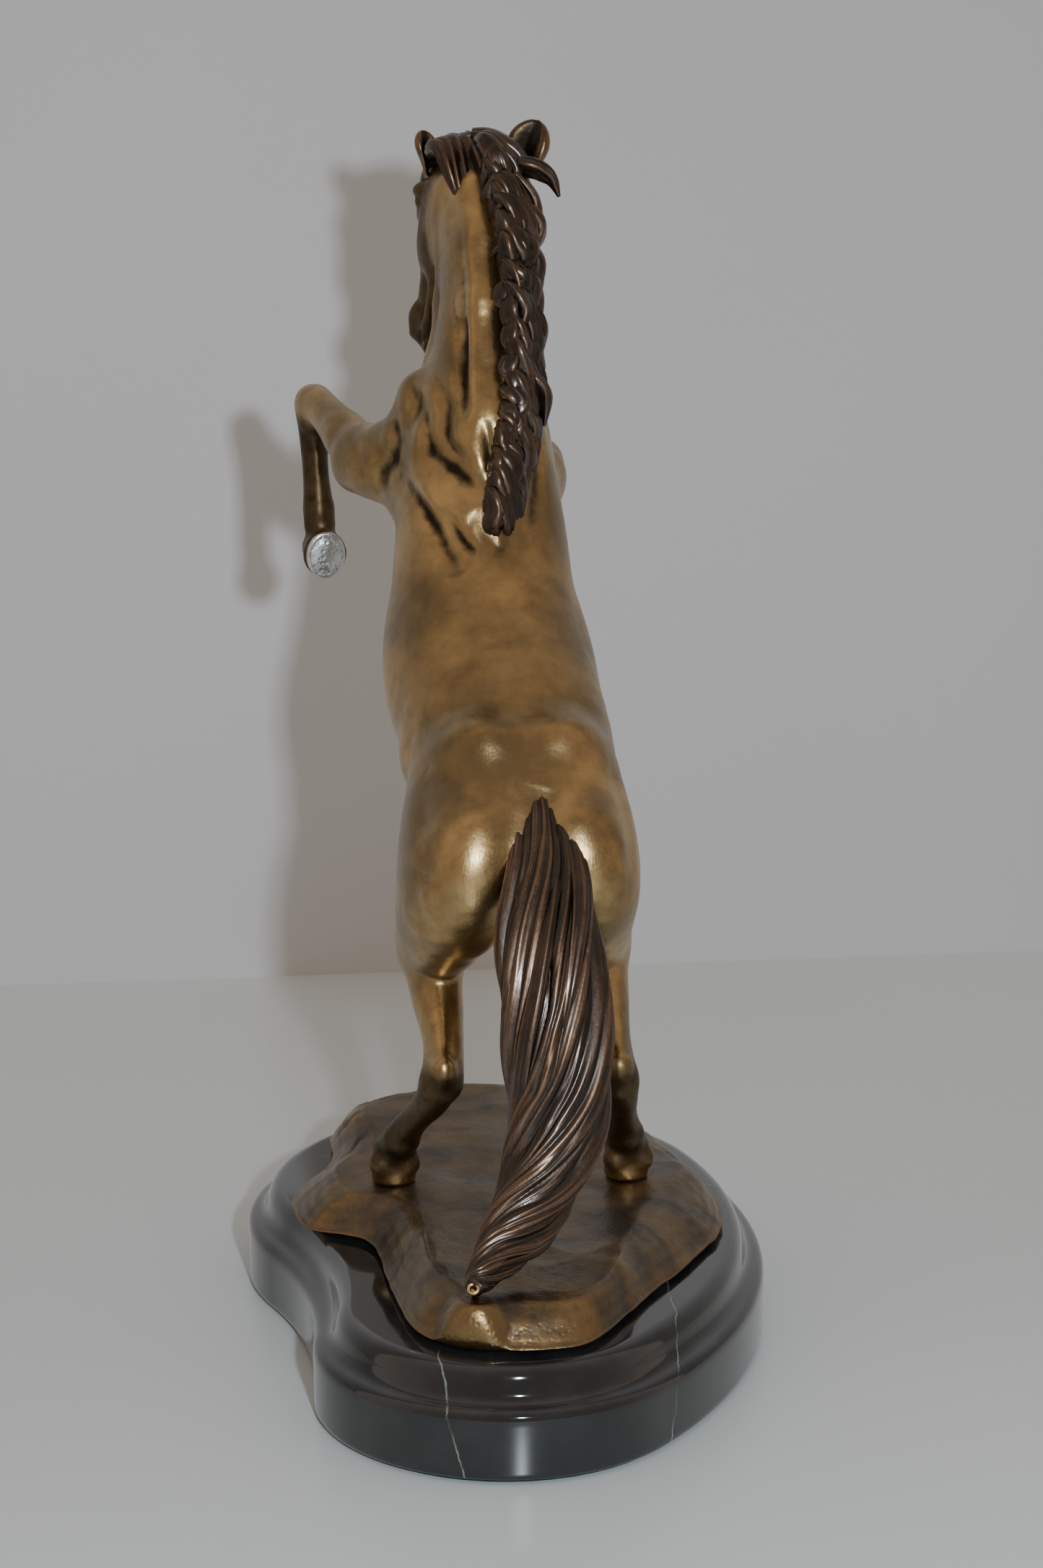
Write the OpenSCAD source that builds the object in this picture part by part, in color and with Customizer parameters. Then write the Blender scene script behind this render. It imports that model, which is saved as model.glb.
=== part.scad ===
// Bronze statuette of a rearing horse on a bronze ground plate and a black marble plinth.
// Millimetres, +Z up, the horse faces -Y.  The origin is on the table, under the plinth's middle.
// The figure is cast in sections that meet on flat faces and are held by dowels.

/* [Marble plinth] */
// Height of the plinth's top above the table
plinth_top = 36; // [30:0.5:50]
// Height of the plain vertical side, above the felt
plinth_side = 23; // [16:0.5:24]
// Width of the moulded edge, seen from above
edge_w = 11; // [7:0.5:14]
// Radius of the far, large lobe
far_lobe_r = 91; // [86:1:98]
// Radius of the near lobe, beside the tail
near_lobe_r = 65; // [62:1:72]
// Radius of the hollow waist on the horse's left
waist_r = 170; // [100:5:260]
// Radius of the full flank on the horse's right
flank_r = 200; // [170:5:320]
// Thickness of the felt under the plinth
felt_t = 1.5; // [1:0.1:3]

/* [Ground plate] */
// Height of the ground plate above the plinth
ground_h = 16; // [14:0.5:22]
// Wall of the hollow castings
wall = 4; // [3:0.25:5]
// Radius of the bosses that take the plinth bolts
boss_r = 8; // [7:0.5:10]

/* [Horse] */
// Size of the figure against the standard one
figure_k = 1; // [0.85:0.01:1.15]
// Heading of the figure, turned towards its left
heading = 8; // [0:1:14]
// Radius of the hind hooves
hind_hoof_r = 8.5; // [7:0.25:9.5]
// Radius of the fore hooves at the sole
fore_hoof_r = 7.5; // [6.5:0.25:8.5]
// Half width of the rib cage
rib_w = 33; // [29:0.5:36]

/* [Fasteners] */
// Radius of the plinth bolts
bolt_r = 3; // [2.5:0.5:4]
// Radius of the studs in the hind hooves
stud_r = 2; // [1.5:0.25:2.5]
// Radius of the dowels between cast sections
dowel_r = 2.5; // [2:0.25:3]
// Radius of the brass pin through the tail's tip
tail_pin_r = 1.6; // [1.2:0.1:2]
// Radial clearance round bolts, studs, dowels and pins
clearance = 0.2; // [0.15:0.05:0.4]

/* [Hidden] */

bronze = "#8a6a2c";
dark_bronze = "#3c281a";
facets = 18;          // facets round a lofted casting
hole_facets = 32;

ground_z = plinth_top + ground_h;      // where the hooves stand
figure_at = [-8.5, 4];                 // the figure's own origin, between the hind feet
lobe_far = [2, -62];
lobe_near = [-5, 62];
felt_inset = 3;

// Where the three plinth bolts stand.
bolt_at = [[-52, -40], [44, -70], [-8, 78]];
bolt_head_h = 4;
bolt_head_r = 1.75 * bolt_r;
washer_t = 1.6;
washer_r = 2.2 * bolt_r;
recess_r = washer_r + 1.5;
recess_h = bolt_head_h + washer_t + 1.4;
thread_depth = 8;

// Landmarks of the figure in its own frame: x to its left, -y forwards, z above the ground.
// The joints are stations: [x, y, z, half width, half depth, tilt, lean, yaw].
left_hoof = [41.6, -23.4, 0];
right_hoof = [-42, -17, 0];
neck_joint = [0, -114, 272, 21, 34, 8, 0, 0];
poll = [0, -134, 345];
poll_joint = [0, -134, 345, 10.5, 16.5, 68, 0, 0];
head_turn = 17;
tail_joint = [-5, 17, 138, 8, 8, 230, 0, 0];
tail_tip = [26.5, 94, 0];
left_gaskin = [27, -32, 82, 9.5, 14, 195, 0, 0];
right_gaskin = [-33, -30, 82, 9.5, 14, 195, 0, 0];
left_elbow = [40, -152, 247, 10.5, 13, 64, 0, 18];
right_elbow = [-32, -156, 237, 10.5, 13, 74, 0, -4];

stud_up = 12;      // how far a stud reaches up into a hoof
nut_h = 3.2;
nut_r = 2.1 * stud_r;
dowel_half = 7;    // how far a dowel reaches into each section
sole_t = 1.2;
sole_r = fore_hoof_r - 1.2;
pin_below = 6;
pin_above = 8;

// A point of the figure's frame, in the part's frame.
function turned(p) = [p.x * cos(heading) - p.y * sin(heading), p.x * sin(heading) + p.y * cos(heading), p.z];
function placed(p) = [figure_at.x, figure_at.y, ground_z] + figure_k * turned(p);

module in_figure() {
    translate([figure_at.x, figure_at.y, ground_z]) rotate([0, 0, heading]) scale(figure_k) children();
}

// ---- lofted shapes ----
// A station is [x, y, z, half width, half depth, tilt, lean, yaw]: an ellipse square to the way ahead,
// turned by tilt about x, then lean about y, then yaw about z.
function about_x(v, a) = [v.x, v.y * cos(a) - v.z * sin(a), v.y * sin(a) + v.z * cos(a)];
function about_y(v, a) = [v.x * cos(a) + v.z * sin(a), v.y, v.z * cos(a) - v.x * sin(a)];
function about_z(v, a) = [v.x * cos(a) - v.y * sin(a), v.x * sin(a) + v.y * cos(a), v.z];
function facing(v, s) = about_z(about_y(about_x(v, s[5]), s[6]), s[7]);
function place(s) = [s[0], s[1], s[2]];
function rim_point(s, a) = place(s) + facing([s[3] * cos(a), s[4] * sin(a), 0], s);

// The station moved along its own way ahead by d, with its radii scaled by k.
function moved(s, d, k) = let (p = place(s) + facing([0, 0, d], s)) [p.x, p.y, p.z, s[3] * k, s[4] * k, s[5], s[6], s[7]];

// A rounded end: back_to = -1 closes the start of a loft, +1 its finish.
function rounded(s, back_to, depth) = let (n = 4)
    [for (k = [1 : n]) let (a = 84 * (back_to < 0 ? n + 1 - k : k) / n) moved(s, back_to * depth * sin(a), cos(a))];

function between(p, i, t) = let (
    last = len(p) - 1, a = p[max(i - 1, 0)], b = p[i], c = p[min(i + 1, last)], d = p[min(i + 2, last)])
    0.5 * (2 * b + (c - a) * t + (2 * a - 5 * b + 4 * c - d) * t * t + (3 * b - a - 3 * c + d) * t * t * t);

// Every station of a line with smooth ones between them.
function smooth(p, steps) = concat([for (i = [0 : len(p) - 2], k = [0 : steps - 1]) between(p, i, k / steps)], [p[len(p) - 1]]);

// The line's radii taken in by t, for the space inside a casting.
function taken_in(p, t) = [for (s = p) [s[0], s[1], s[2], s[3] - t, s[4] - t, s[5], s[6], s[7]]];

function mirrored(p) = [for (s = p) [-s[0], s[1], s[2], s[3], s[4], s[5], -s[6], -s[7]]];

module loft(line, n = facets) {
    rings = len(line);
    polyhedron(
        [for (s = line, j = [0 : n - 1]) rim_point(s, 360 * j / n)],
        concat(
            [[for (j = [0 : n - 1]) j]],
            [[for (j = [0 : n - 1]) rings * n - 1 - j]],
            [for (i = [0 : rings - 2], j = [0 : n - 1]) [i * n + j, (i + 1) * n + j, (i + 1) * n + (j + 1) % n]],
            [for (i = [0 : rings - 2], j = [0 : n - 1]) [i * n + j, (i + 1) * n + (j + 1) % n, i * n + (j + 1) % n]]));
}

// ---- plinth: two lobes, a hollow waist and a full flank, all touching smoothly ----
function unit(v) = v / norm(v);

// The centre of the circle that keeps da from one lobe's centre and db from the other's, on one side.
function touching(da, db, side) = let (
    gap = norm(lobe_near - lobe_far), u = unit(lobe_near - lobe_far),
    along = (da * da - db * db + gap * gap) / (2 * gap), off = sqrt(da * da - along * along))
    lobe_far + along * u + side * off * [u.y, -u.x];

waist_at = touching(waist_r + far_lobe_r, waist_r + near_lobe_r, 1);
flank_at = touching(flank_r - far_lobe_r, flank_r - near_lobe_r, 1);

function heading_of(v) = atan2(v.y, v.x);
flank_to_far = 360 + heading_of(lobe_far - flank_at);
far_to_waist = 360 + heading_of(waist_at - lobe_far);
waist_to_near = heading_of(waist_at - lobe_near);
near_to_flank = heading_of(lobe_near - flank_at);

function arc(middle, r, from, to, n) =
    [for (k = [0 : n - 1]) let (a = from + (to - from) * k / n) middle + r * [cos(a), sin(a)]];

// The plinth's outline, anticlockwise from the far lobe, taken in by inset.
module plinth_outline(inset) {
    polygon(concat(
        arc(lobe_far, far_lobe_r - inset, flank_to_far, far_to_waist, 34),
        arc(waist_at, waist_r + inset, far_to_waist - 180, waist_to_near + 180, 9),
        arc(lobe_near, near_lobe_r - inset, waist_to_near, near_to_flank, 22),
        arc(flank_at, flank_r - inset, near_to_flank, flank_to_far, 20)));
}

// The moulded edge rises to the flat top in fine steps: [share of its width, share of its height].
edge_steps = [[0.08, 0.12], [0.2, 0.22], [0.34, 0.34], [0.46, 0.5], [0.56, 0.66], [0.68, 0.8], [0.86, 0.9], [1, 1]];

module marble_base() color("#101412") difference() {
    union() {
        translate([0, 0, felt_t]) linear_extrude(plinth_side) plinth_outline(0);
        for (i = [0 : len(edge_steps) - 1]) {
            from = i == 0 ? 0 : edge_steps[i - 1][1];
            edge_h = plinth_top - felt_t - plinth_side;
            translate([0, 0, felt_t + plinth_side + from * edge_h])
                linear_extrude((edge_steps[i][1] - from) * edge_h) plinth_outline(edge_steps[i][0] * edge_w);
        }
    }
    for (p = bolt_at) translate([p.x, p.y, 0]) {
        cylinder(r = bolt_r + clearance, h = plinth_top + 1, $fn = hole_facets);
        cylinder(r = recess_r, h = felt_t + recess_h, $fn = hole_facets);
    }
}

module felt_pad() color("#1c2a20") linear_extrude(felt_t) plinth_outline(felt_inset);

// ---- ground plate ----
ground_corners = [[74, -96], [70, -70], [76, -44], [74, -26], [60, -2], [44, 20], [36, 52], [30, 91],
                  [15, 111], [-4, 115], [-28, 104], [-44, 86], [-64, 54], [-78, 22], [-82, -2],
                  [-76, -52], [-62, -94], [-40, -122], [-12, -141], [17, -147], [44, -143], [67, -121]];

// The line that the ground's edge leans in towards, at a height along the plate.
function ground_middle(y) = [y > 20 ? -14 : -4, min(max(y, -90), 70)];

// A corner taken in towards the middle.
function ground_corner(p, inset) = p + inset * unit(ground_middle(p.y) - p);

// The sloping edge as [share of the height, inset].
ground_steps = [[0, 0], [0.35, 0.6], [0.6, 1.8], [0.8, 3.8], [0.92, 6.5], [1, 10]];

module ground_skin() {
    n = len(ground_corners);
    rings = len(ground_steps);
    polyhedron(
        [for (s = ground_steps, p = ground_corners) let (q = ground_corner(p, s[1])) [q.x, q.y, plinth_top + s[0] * ground_h]],
        concat(
            [[for (j = [0 : n - 1]) j]],
            [[for (j = [0 : n - 1]) rings * n - 1 - j]],
            [for (i = [0 : rings - 2], j = [0 : n - 1]) [i * n + j, (i + 1) * n + j, (i + 1) * n + (j + 1) % n]],
            [for (i = [0 : rings - 2], j = [0 : n - 1]) [i * n + j, (i + 1) * n + (j + 1) % n, i * n + (j + 1) % n]]));
}

module ground_hollow() {
    translate([0, 0, plinth_top - 1]) linear_extrude(1 + ground_h - wall)
        polygon([for (p = ground_corners) ground_corner(p, 16 + wall)]);
}

module ground_casting() color(dark_bronze) difference() {
    union() {
        difference() {
            ground_skin();
            ground_hollow();
        }
        for (p = bolt_at)
            translate([p.x, p.y, plinth_top]) cylinder(r = boss_r, h = ground_h - wall + 0.5, $fn = hole_facets);
        // Wherever the tail's tip stands, its pin has a boss with a closed bottom.
        tail_pin_at() translate([0, 0, -ground_h])
            cylinder(r = tail_pin_r + clearance + wall / 2, h = ground_h - 1, $fn = hole_facets);
    }
    for (p = bolt_at)
        translate([p.x, p.y, plinth_top - 1]) cylinder(r = bolt_r, h = thread_depth + 1, $fn = hole_facets);
    for (p = [placed(left_hoof), placed(right_hoof)])
        translate([p.x, p.y, plinth_top]) cylinder(r = stud_r + clearance, h = ground_h + 1, $fn = hole_facets);
    tail_pin_at() translate([0, 0, -pin_below])
        cylinder(r = tail_pin_r + clearance, h = pin_below + 1, $fn = hole_facets);
}

// ---- trunk ----
trunk_rear = [-2, 6, 124, 27, 27, 30, 0, 0];
trunk_line = smooth([
    trunk_rear,
    [-2, -12, 137, 36, 33, 38, 0, 0],
    [-2, -38, 158, 36, 33, 44, 0, 0],
    [1, -62, 176, rib_w + 2.5, 33, 48, 0, 0],
    [1, -84, 198, rib_w, 34, 46, 0, 0],
    [0, -100, 222, rib_w - 2.5, 36, 34, 0, 0],
    [0, -109, 248, 27, 37, 18, 0, 0],
    neck_joint,
], 3);
left_thigh = concat(rounded([20, 6, 134, 15, 26, 170, 0, 0], -1, 24), smooth([
    [20, 6, 134, 15, 26, 170, 0, 0],
    [22.5, 0, 118, 17, 31, 168, 0, 0],
    [24, -12, 104, 15.5, 28, 160, 0, 0],
    [25, -24, 92, 12, 21, 165, 0, 0],
    left_gaskin,
], 2));
right_thigh = concat(rounded([-22, 6, 134, 16, 26, 170, 0, 0], -1, 24), smooth([
    [-22, 6, 134, 16, 26, 170, 0, 0],
    [-23, 0, 120, 18, 31, 168, 0, 0],
    [-26, -12, 104, 15.5, 28, 160, 0, 0],
    [-30, -22, 92, 12, 21, 165, 0, 0],
    right_gaskin,
], 2));
left_shoulder = concat(rounded([14, -92, 226, 10, 19, 84, 0, 24], -1, 10), smooth([
    [14, -92, 226, 10, 19, 84, 0, 24],
    [19, -108, 238, 13, 28, 84, 0, 24],
    [27, -126, 244, 14, 25, 82, 0, 24],
    [34, -140, 244, 12.5, 17, 74, 0, 20],
    left_elbow,
], 2));
right_shoulder = concat(rounded([-14, -92, 226, 10, 19, 84, 0, -20], -1, 10), smooth([
    [-14, -92, 226, 10, 19, 84, 0, -20],
    [-15, -108, 232, 12, 25, 84, 0, -16],
    [-22, -126, 236, 12.5, 22, 84, 0, -14],
    [-29, -142, 236, 12.5, 17, 80, 0, -8],
    right_elbow,
], 2));

module trunk_shape() {
    loft(concat(rounded(trunk_rear, -1, 18), trunk_line));
    loft(left_thigh);
    loft(right_thigh);
    loft(left_shoulder);
    loft(right_shoulder);
}

// The core's space runs from the loin up and is open at the neck.
trunk_core = taken_in(concat([for (i = [5 : len(trunk_line) - 1]) trunk_line[i]], [moved(neck_joint, 2, 1)]), wall);

module trunk_casting() color(bronze) in_figure() difference() {
    trunk_shape();
    loft(trunk_core);
    leg_dowel_holes();
    tail_dowel_hole();
}

// ---- neck, head and mane ----
neck_line = smooth([
    neck_joint,
    [0, -115, 289, 16, 28, 4, 0, 0],
    [0, -117, 306, 13, 23.5, 8, 0, 0],
    [0, -121, 324, 11.5, 19.5, 26, 0, 0],
    poll_joint,
], 3);

module neck_casting() color(bronze) in_figure() difference() {
    loft(neck_line);
    loft(taken_in(concat([moved(neck_joint, -2, 1)], [for (i = [0 : 5]) neck_line[i]]), wall));
    poll_dowel_hole();
}

// A station of the head: d ahead of the poll, up above it.
function head_station(d, up, w, h, tilt) =
    [poll.x + d * sin(head_turn), poll.y - d * cos(head_turn), poll.z + up, w, h, tilt, 0, head_turn];

muzzle = head_station(39, -58, 6.5, 7.5, 165);
head_line = concat(smooth([
    poll_joint,
    head_station(8, 2, 12.5, 18, 88),
    head_station(16, -3, 13.5, 18.5, 112),
    head_station(24, -14, 12, 16, 140),
    head_station(28, -27, 9.5, 13, 152),
    head_station(32, -41, 8, 10, 158),
    head_station(37, -52, 8, 9, 160),
    muzzle,
], 2), rounded(muzzle, 1, 4));

// An ear from its root to its tip, both measured from the poll.
function ear_line(root, tip) = let (v = tip - root, t = acos(v.z / norm(v)), y = atan2(v.x, -v.y))
    smooth([for (e = [[0, 4, 4], [0.45, 5, 3.4], [0.8, 3, 2], [1, 0.8, 0.8]])
        let (p = poll + root + e[0] * v) [p.x, p.y, p.z, e[1], e[2], t, 0, y]], 2);

left_ear = ear_line([7, -8, 10], [20, -5, 26]);
right_ear = ear_line([-6, -7, 10], [-23, 1, 28]);

module head_casting() color(bronze) in_figure() difference() {
    union() {
        loft(head_line);
        loft(left_ear);
        loft(right_ear);
    }
    poll_dowel_hole();
}

mane_top = [-8, -124, 364, 11, 9, 190, 0, 0];
mane_end = [-1, -72, 226, 5, 4, 160, 0, 0];
mane_line = concat(rounded(mane_top, -1, 7), smooth([
    mane_top,
    [-13, -112, 346, 11, 12, 200, 0, 0],
    [-16, -100, 318, 10, 13, 200, 0, 0],
    [-15, -92, 288, 10, 13, 195, 0, 0],
    [-13, -84, 264, 12, 12, 195, 0, 0],
    [-8, -76, 242, 9, 8, 195, 0, 0],
    mane_end,
], 3), rounded(mane_end, 1, 5));
forelock_line = smooth([
    head_station(6, 19, 5.5, 4, 80),
    head_station(14, 18, 6, 4.4, 105),
    head_station(24, 11, 5, 4, 130),
    head_station(34, -2, 1.6, 1.4, 150),
], 3);

// The whole of the body in one line, from the rump to the muzzle.
body_line = concat(trunk_line, [for (i = [1 : len(neck_line) - 1]) neck_line[i]],
    [for (i = [1 : len(head_line) - 1]) head_line[i]]);

module mane_casting() color(dark_bronze) in_figure() difference() {
    loft(mane_line);
    loft(body_line);
    loft(right_shoulder);
    loft(right_ear);
}

module forelock() color(dark_bronze) in_figure() difference() {
    loft(forelock_line);
    loft(body_line);
    loft(mane_line);
}

// ---- legs ----
left_leg_line = smooth([
    left_gaskin,
    [26, -17, 68, 8, 11, 222, 0, 0],
    [25.5, -4, 56, 6, 8.6, 220, 0, 0],
    [27, 5, 46, 6.4, 9, 192, -8, 0],
    [30, 1, 37, 5, 6.4, 162, -20, 0],
    [35, -8, 28, 4.3, 4.8, 156, -24, 0],
    [40, -16, 18, 5.6, 6.4, 158, -14, 0],
    [41.6, -20.5, 13, 5, 5.6, 168, -6, 0],
    [41.6, -22.9, 1.25 * hind_hoof_r, 0.75 * hind_hoof_r, 0.8 * hind_hoof_r, 180, 0, 0],
], 3);
right_leg_line = smooth([
    right_gaskin,
    [-33, -14, 68, 8, 11, 222, 0, 0],
    [-33, 0, 56, 6, 8.6, 220, 0, 0],
    [-34, 9, 46, 6.4, 9, 192, 2, 0],
    [-36, 6, 37, 5, 6.4, 160, 10, 0],
    [-38, -3, 28, 4.3, 4.8, 154, 10, 0],
    [-41, -11, 18, 5.6, 6.4, 158, 6, 0],
    [-42, -15.5, 13, 5, 5.6, 168, 0, 0],
    [-42, -16.5, 1.25 * hind_hoof_r, 0.75 * hind_hoof_r, 0.8 * hind_hoof_r, 180, 0, 0],
], 3);

module hind_hoof(at) {
    translate(at) cylinder(r1 = hind_hoof_r, r2 = 0.78 * hind_hoof_r, h = 1.25 * hind_hoof_r + 0.5, $fn = 48);
}

module stud_hole(at) {
    translate(placed(at) - [0, 0, 1])
        cylinder(r = stud_r + clearance, h = stud_up + 1 + clearance, $fn = hole_facets);
}

module left_hind_leg_casting() color(bronze) difference() {
    in_figure() difference() {
        union() {
            loft(left_leg_line);
            hind_hoof(left_hoof);
        }
        leg_dowel_holes();
    }
    stud_hole(left_hoof);
}

module right_hind_leg_casting() color(bronze) difference() {
    in_figure() difference() {
        union() {
            loft(right_leg_line);
            hind_hoof(right_hoof);
        }
        leg_dowel_holes();
    }
    stud_hole(right_hoof);
}

// Each sole is [place, turns]: its own z axis leaves the hoof through the sole.
left_sole = [[51, -192, 205], [-125, 0, 8]];
right_sole = [[-30, -194, 188], [-118, 0, -6]];

function coronet(sole, yaw) = let (p = sole[0] - about_z(about_x([0, 0, 1.2 * fore_hoof_r], sole[1].x), sole[1].z))
    [p.x, p.y, p.z, 0.78 * fore_hoof_r, 0.78 * fore_hoof_r, 180 + 0.75 * (180 + sole[1].x), 0, yaw];

left_foreleg_line = smooth([
    left_elbow,
    [45, -167, 254, 8.6, 11.4, 62, 0, 18],
    [51, -185, 262, 6.4, 8, 66, 0, 18],
    [54.5, -198, 264, 6.6, 7.2, 122, 0, 14],
    [54.5, -200, 252, 5.2, 5.4, 176, 0, 10],
    [54, -200, 238, 4.3, 4.6, 180, 0, 10],
    [53, -200, 223, 5.4, 5.8, 188, 0, 10],
    coronet(left_sole, 10),
], 3);
right_foreleg_line = smooth([
    right_elbow,
    [-33, -172, 241, 8.6, 11.4, 74, 0, -2],
    [-34, -192, 246, 6.4, 8, 76, 0, -2],
    [-34, -206, 245, 6.6, 7.2, 128, 0, -2],
    [-33, -208, 234, 5.2, 5.4, 180, 0, -4],
    [-32, -207, 221, 4.3, 4.6, 184, 0, -6],
    [-31, -205, 207, 5.4, 5.8, 190, 0, -6],
    coronet(right_sole, -6),
], 3);

module fore_hoof(s) {
    translate(s[0]) rotate(s[1]) difference() {
        translate([0, 0, -1.3 * fore_hoof_r])
            cylinder(r1 = 0.78 * fore_hoof_r, r2 = fore_hoof_r, h = 1.3 * fore_hoof_r, $fn = 48);
        translate([0, 0, -sole_t]) cylinder(r = sole_r + clearance, h = sole_t + 1, $fn = 48);
    }
}

module left_foreleg_casting() color(bronze) in_figure() difference() {
    union() {
        loft(left_foreleg_line);
        fore_hoof(left_sole);
    }
    leg_dowel_holes();
}

module right_foreleg_casting() color(bronze) in_figure() difference() {
    union() {
        loft(right_foreleg_line);
        fore_hoof(right_sole);
    }
    leg_dowel_holes();
}

module sole(s) {
    in_figure() translate(s[0]) rotate(s[1]) translate([0, 0, -sole_t]) cylinder(r = sole_r, h = sole_t, $fn = 48);
}

module left_fore_sole() color("#b9bcc4") sole(left_sole);

module right_fore_sole() color("#b9bcc4") sole(right_sole);

// ---- tail ----
tail_line = smooth([
    tail_joint,
    [-6, 32, 124, 12, 9, 215, 0, 0],
    [-5, 44, 104, 17, 11, 205, 0, 0],
    [-6, 53, 78, 18, 12, 196, 0, 0],
    [-6, 59, 52, 16.5, 12, 200, 0, 0],
    [2, 68, 28, 13.5, 11, 210, 0, 0],
    [14, 79, 13, 9.5, 8, 228, 0, 0],
    [24, 90, 6, 5.5, 4.6, 245, 0, 0],
    [28, 96, 4.2, 3, 2.8, 255, 0, 0],
], 3);

module tail_casting() color(dark_bronze) difference() {
    in_figure() difference() {
        loft(tail_line);
        loft(concat(rounded(trunk_rear, -1, 18), trunk_line));
        loft(left_thigh);
        loft(right_thigh);
        tail_dowel_hole();
        translate([-40, 20, -20]) cube([120, 100, 20]);
    }
    tail_pin_at() translate([0, 0, -1])
        cylinder(r = tail_pin_r + clearance, h = pin_above + 2, $fn = hole_facets);
}

module tail_pin_at() {
    translate(placed(tail_tip)) children();
}

module tail_pin() color("#c9a24a") tail_pin_at() translate([0, 0, -pin_below])
    cylinder(r = tail_pin_r, h = pin_below + pin_above, $fn = 48);

// ---- dowels, studs, nuts, bolts ----
// A dowel's hole or the dowel itself, centred on a joint and square to it.
module across(joint, r, half) {
    translate(place(joint)) rotate([joint[5], joint[6], joint[7]]) translate([0, 0, -half])
        cylinder(r = r, h = 2 * half, $fn = hole_facets);
}

leg_joints = [left_gaskin, right_gaskin, left_elbow, right_elbow];

module leg_dowel_holes() {
    for (j = leg_joints) across(j, dowel_r + clearance, dowel_half + clearance);
}

module poll_dowel_hole() {
    across(poll_joint, dowel_r + clearance, dowel_half + clearance);
}

module tail_dowel_hole() {
    across(tail_joint, dowel_r + clearance, dowel_half + clearance);
}

module leg_dowels() color("#b08d57") in_figure() for (j = leg_joints) across(j, dowel_r, dowel_half);

module poll_dowel() color("#b08d57") in_figure() across(poll_joint, dowel_r, dowel_half);

module tail_dowel() color("#b08d57") in_figure() across(tail_joint, dowel_r, dowel_half);

module hoof_studs() color("silver") for (p = [placed(left_hoof), placed(right_hoof)])
    translate([p.x, p.y, ground_z - wall - nut_h - 1]) cylinder(r = stud_r, h = stud_up + wall + nut_h + 1, $fn = 32);

module hoof_nuts() color("silver") for (p = [placed(left_hoof), placed(right_hoof)])
    translate([p.x, p.y, ground_z - wall - nut_h]) difference() {
        cylinder(r = nut_r, h = nut_h, $fn = 6);
        translate([0, 0, -1]) cylinder(r = stud_r, h = nut_h + 2, $fn = 32);
    }

module base_bolts() color("silver") for (p = bolt_at) translate([p.x, p.y, felt_t + recess_h - washer_t - bolt_head_h]) {
    cylinder(r = bolt_head_r, h = bolt_head_h, $fn = 6);
    cylinder(r = bolt_r, h = plinth_top + thread_depth - 1 - (felt_t + recess_h - washer_t - bolt_head_h), $fn = 32);
}

module base_washers() color("silver") for (p = bolt_at) translate([p.x, p.y, felt_t + recess_h - washer_t])
    difference() {
        cylinder(r = washer_r, h = washer_t, $fn = 48);
        translate([0, 0, -1]) cylinder(r = bolt_r + clearance, h = washer_t + 2, $fn = 32);
    }

marble_base();
felt_pad();
ground_casting();
trunk_casting();
neck_casting();
head_casting();
mane_casting();
forelock();
left_foreleg_casting();
right_foreleg_casting();
left_hind_leg_casting();
right_hind_leg_casting();
tail_casting();
left_fore_sole();
right_fore_sole();
tail_pin();
hoof_studs();
hoof_nuts();
base_bolts();
base_washers();
poll_dowel();
leg_dowels();
tail_dowel();
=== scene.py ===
"""Bronze statuette of a rearing horse on a bronze ground plate and a black marble plinth.

The horse is modelled as clay is: solids are blended into one field of distances, the skin is drawn
through it, and the skin is then cut into the cast sections that the frame names. Hair is carried
along paths, and the plinth and the ground are surfaces of two parameters.
"""

from __future__ import annotations

import logging
import math
from dataclasses import dataclass, field
from enum import Enum
from typing import Sequence

import bpy
import numpy as np
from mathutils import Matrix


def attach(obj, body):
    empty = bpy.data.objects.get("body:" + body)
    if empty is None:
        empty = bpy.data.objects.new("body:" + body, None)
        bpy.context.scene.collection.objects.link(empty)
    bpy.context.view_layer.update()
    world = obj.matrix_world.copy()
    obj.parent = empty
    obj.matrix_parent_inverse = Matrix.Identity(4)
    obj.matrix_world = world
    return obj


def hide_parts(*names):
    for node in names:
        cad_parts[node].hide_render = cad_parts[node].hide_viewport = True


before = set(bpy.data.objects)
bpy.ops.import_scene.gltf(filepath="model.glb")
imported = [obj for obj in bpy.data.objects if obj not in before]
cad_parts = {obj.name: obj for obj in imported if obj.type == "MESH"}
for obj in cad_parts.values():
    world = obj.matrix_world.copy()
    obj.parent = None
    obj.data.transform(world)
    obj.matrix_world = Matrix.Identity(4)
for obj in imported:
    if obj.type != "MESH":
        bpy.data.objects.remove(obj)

LOG = logging.getLogger("statuette")
Array = np.ndarray
MM = 0.001
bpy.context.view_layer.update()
GROUND_TOP = 52.0
PLINTH_TOP = 36.0
FIGURE_AT = (-8.5, 4.0)
HEADING = 8.0
LATTICE_PRIMES = (73856093, 19349663, 83492791)
HALF_OF_16_BITS = 32767.5
POINTS_PER_ARC = 90
FAR = 1000.0
FORE_SOLE_TILT = -100.0
LEFT_SOLE_YAW = 8.0
RIGHT_SOLE_YAW = -6.0


class Slot(Enum):
    """Names of material slots, one for each kind of finish."""

    GOLDEN = "golden_bronze"
    DARK = "dark_bronze"
    GROUND = "brown_bronze"
    MARBLE = "black_marble"
    SOLE = "sole_metal"
    PIN = "brass_pin"


# ---------------------------------------------------------------- small geometry


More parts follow.
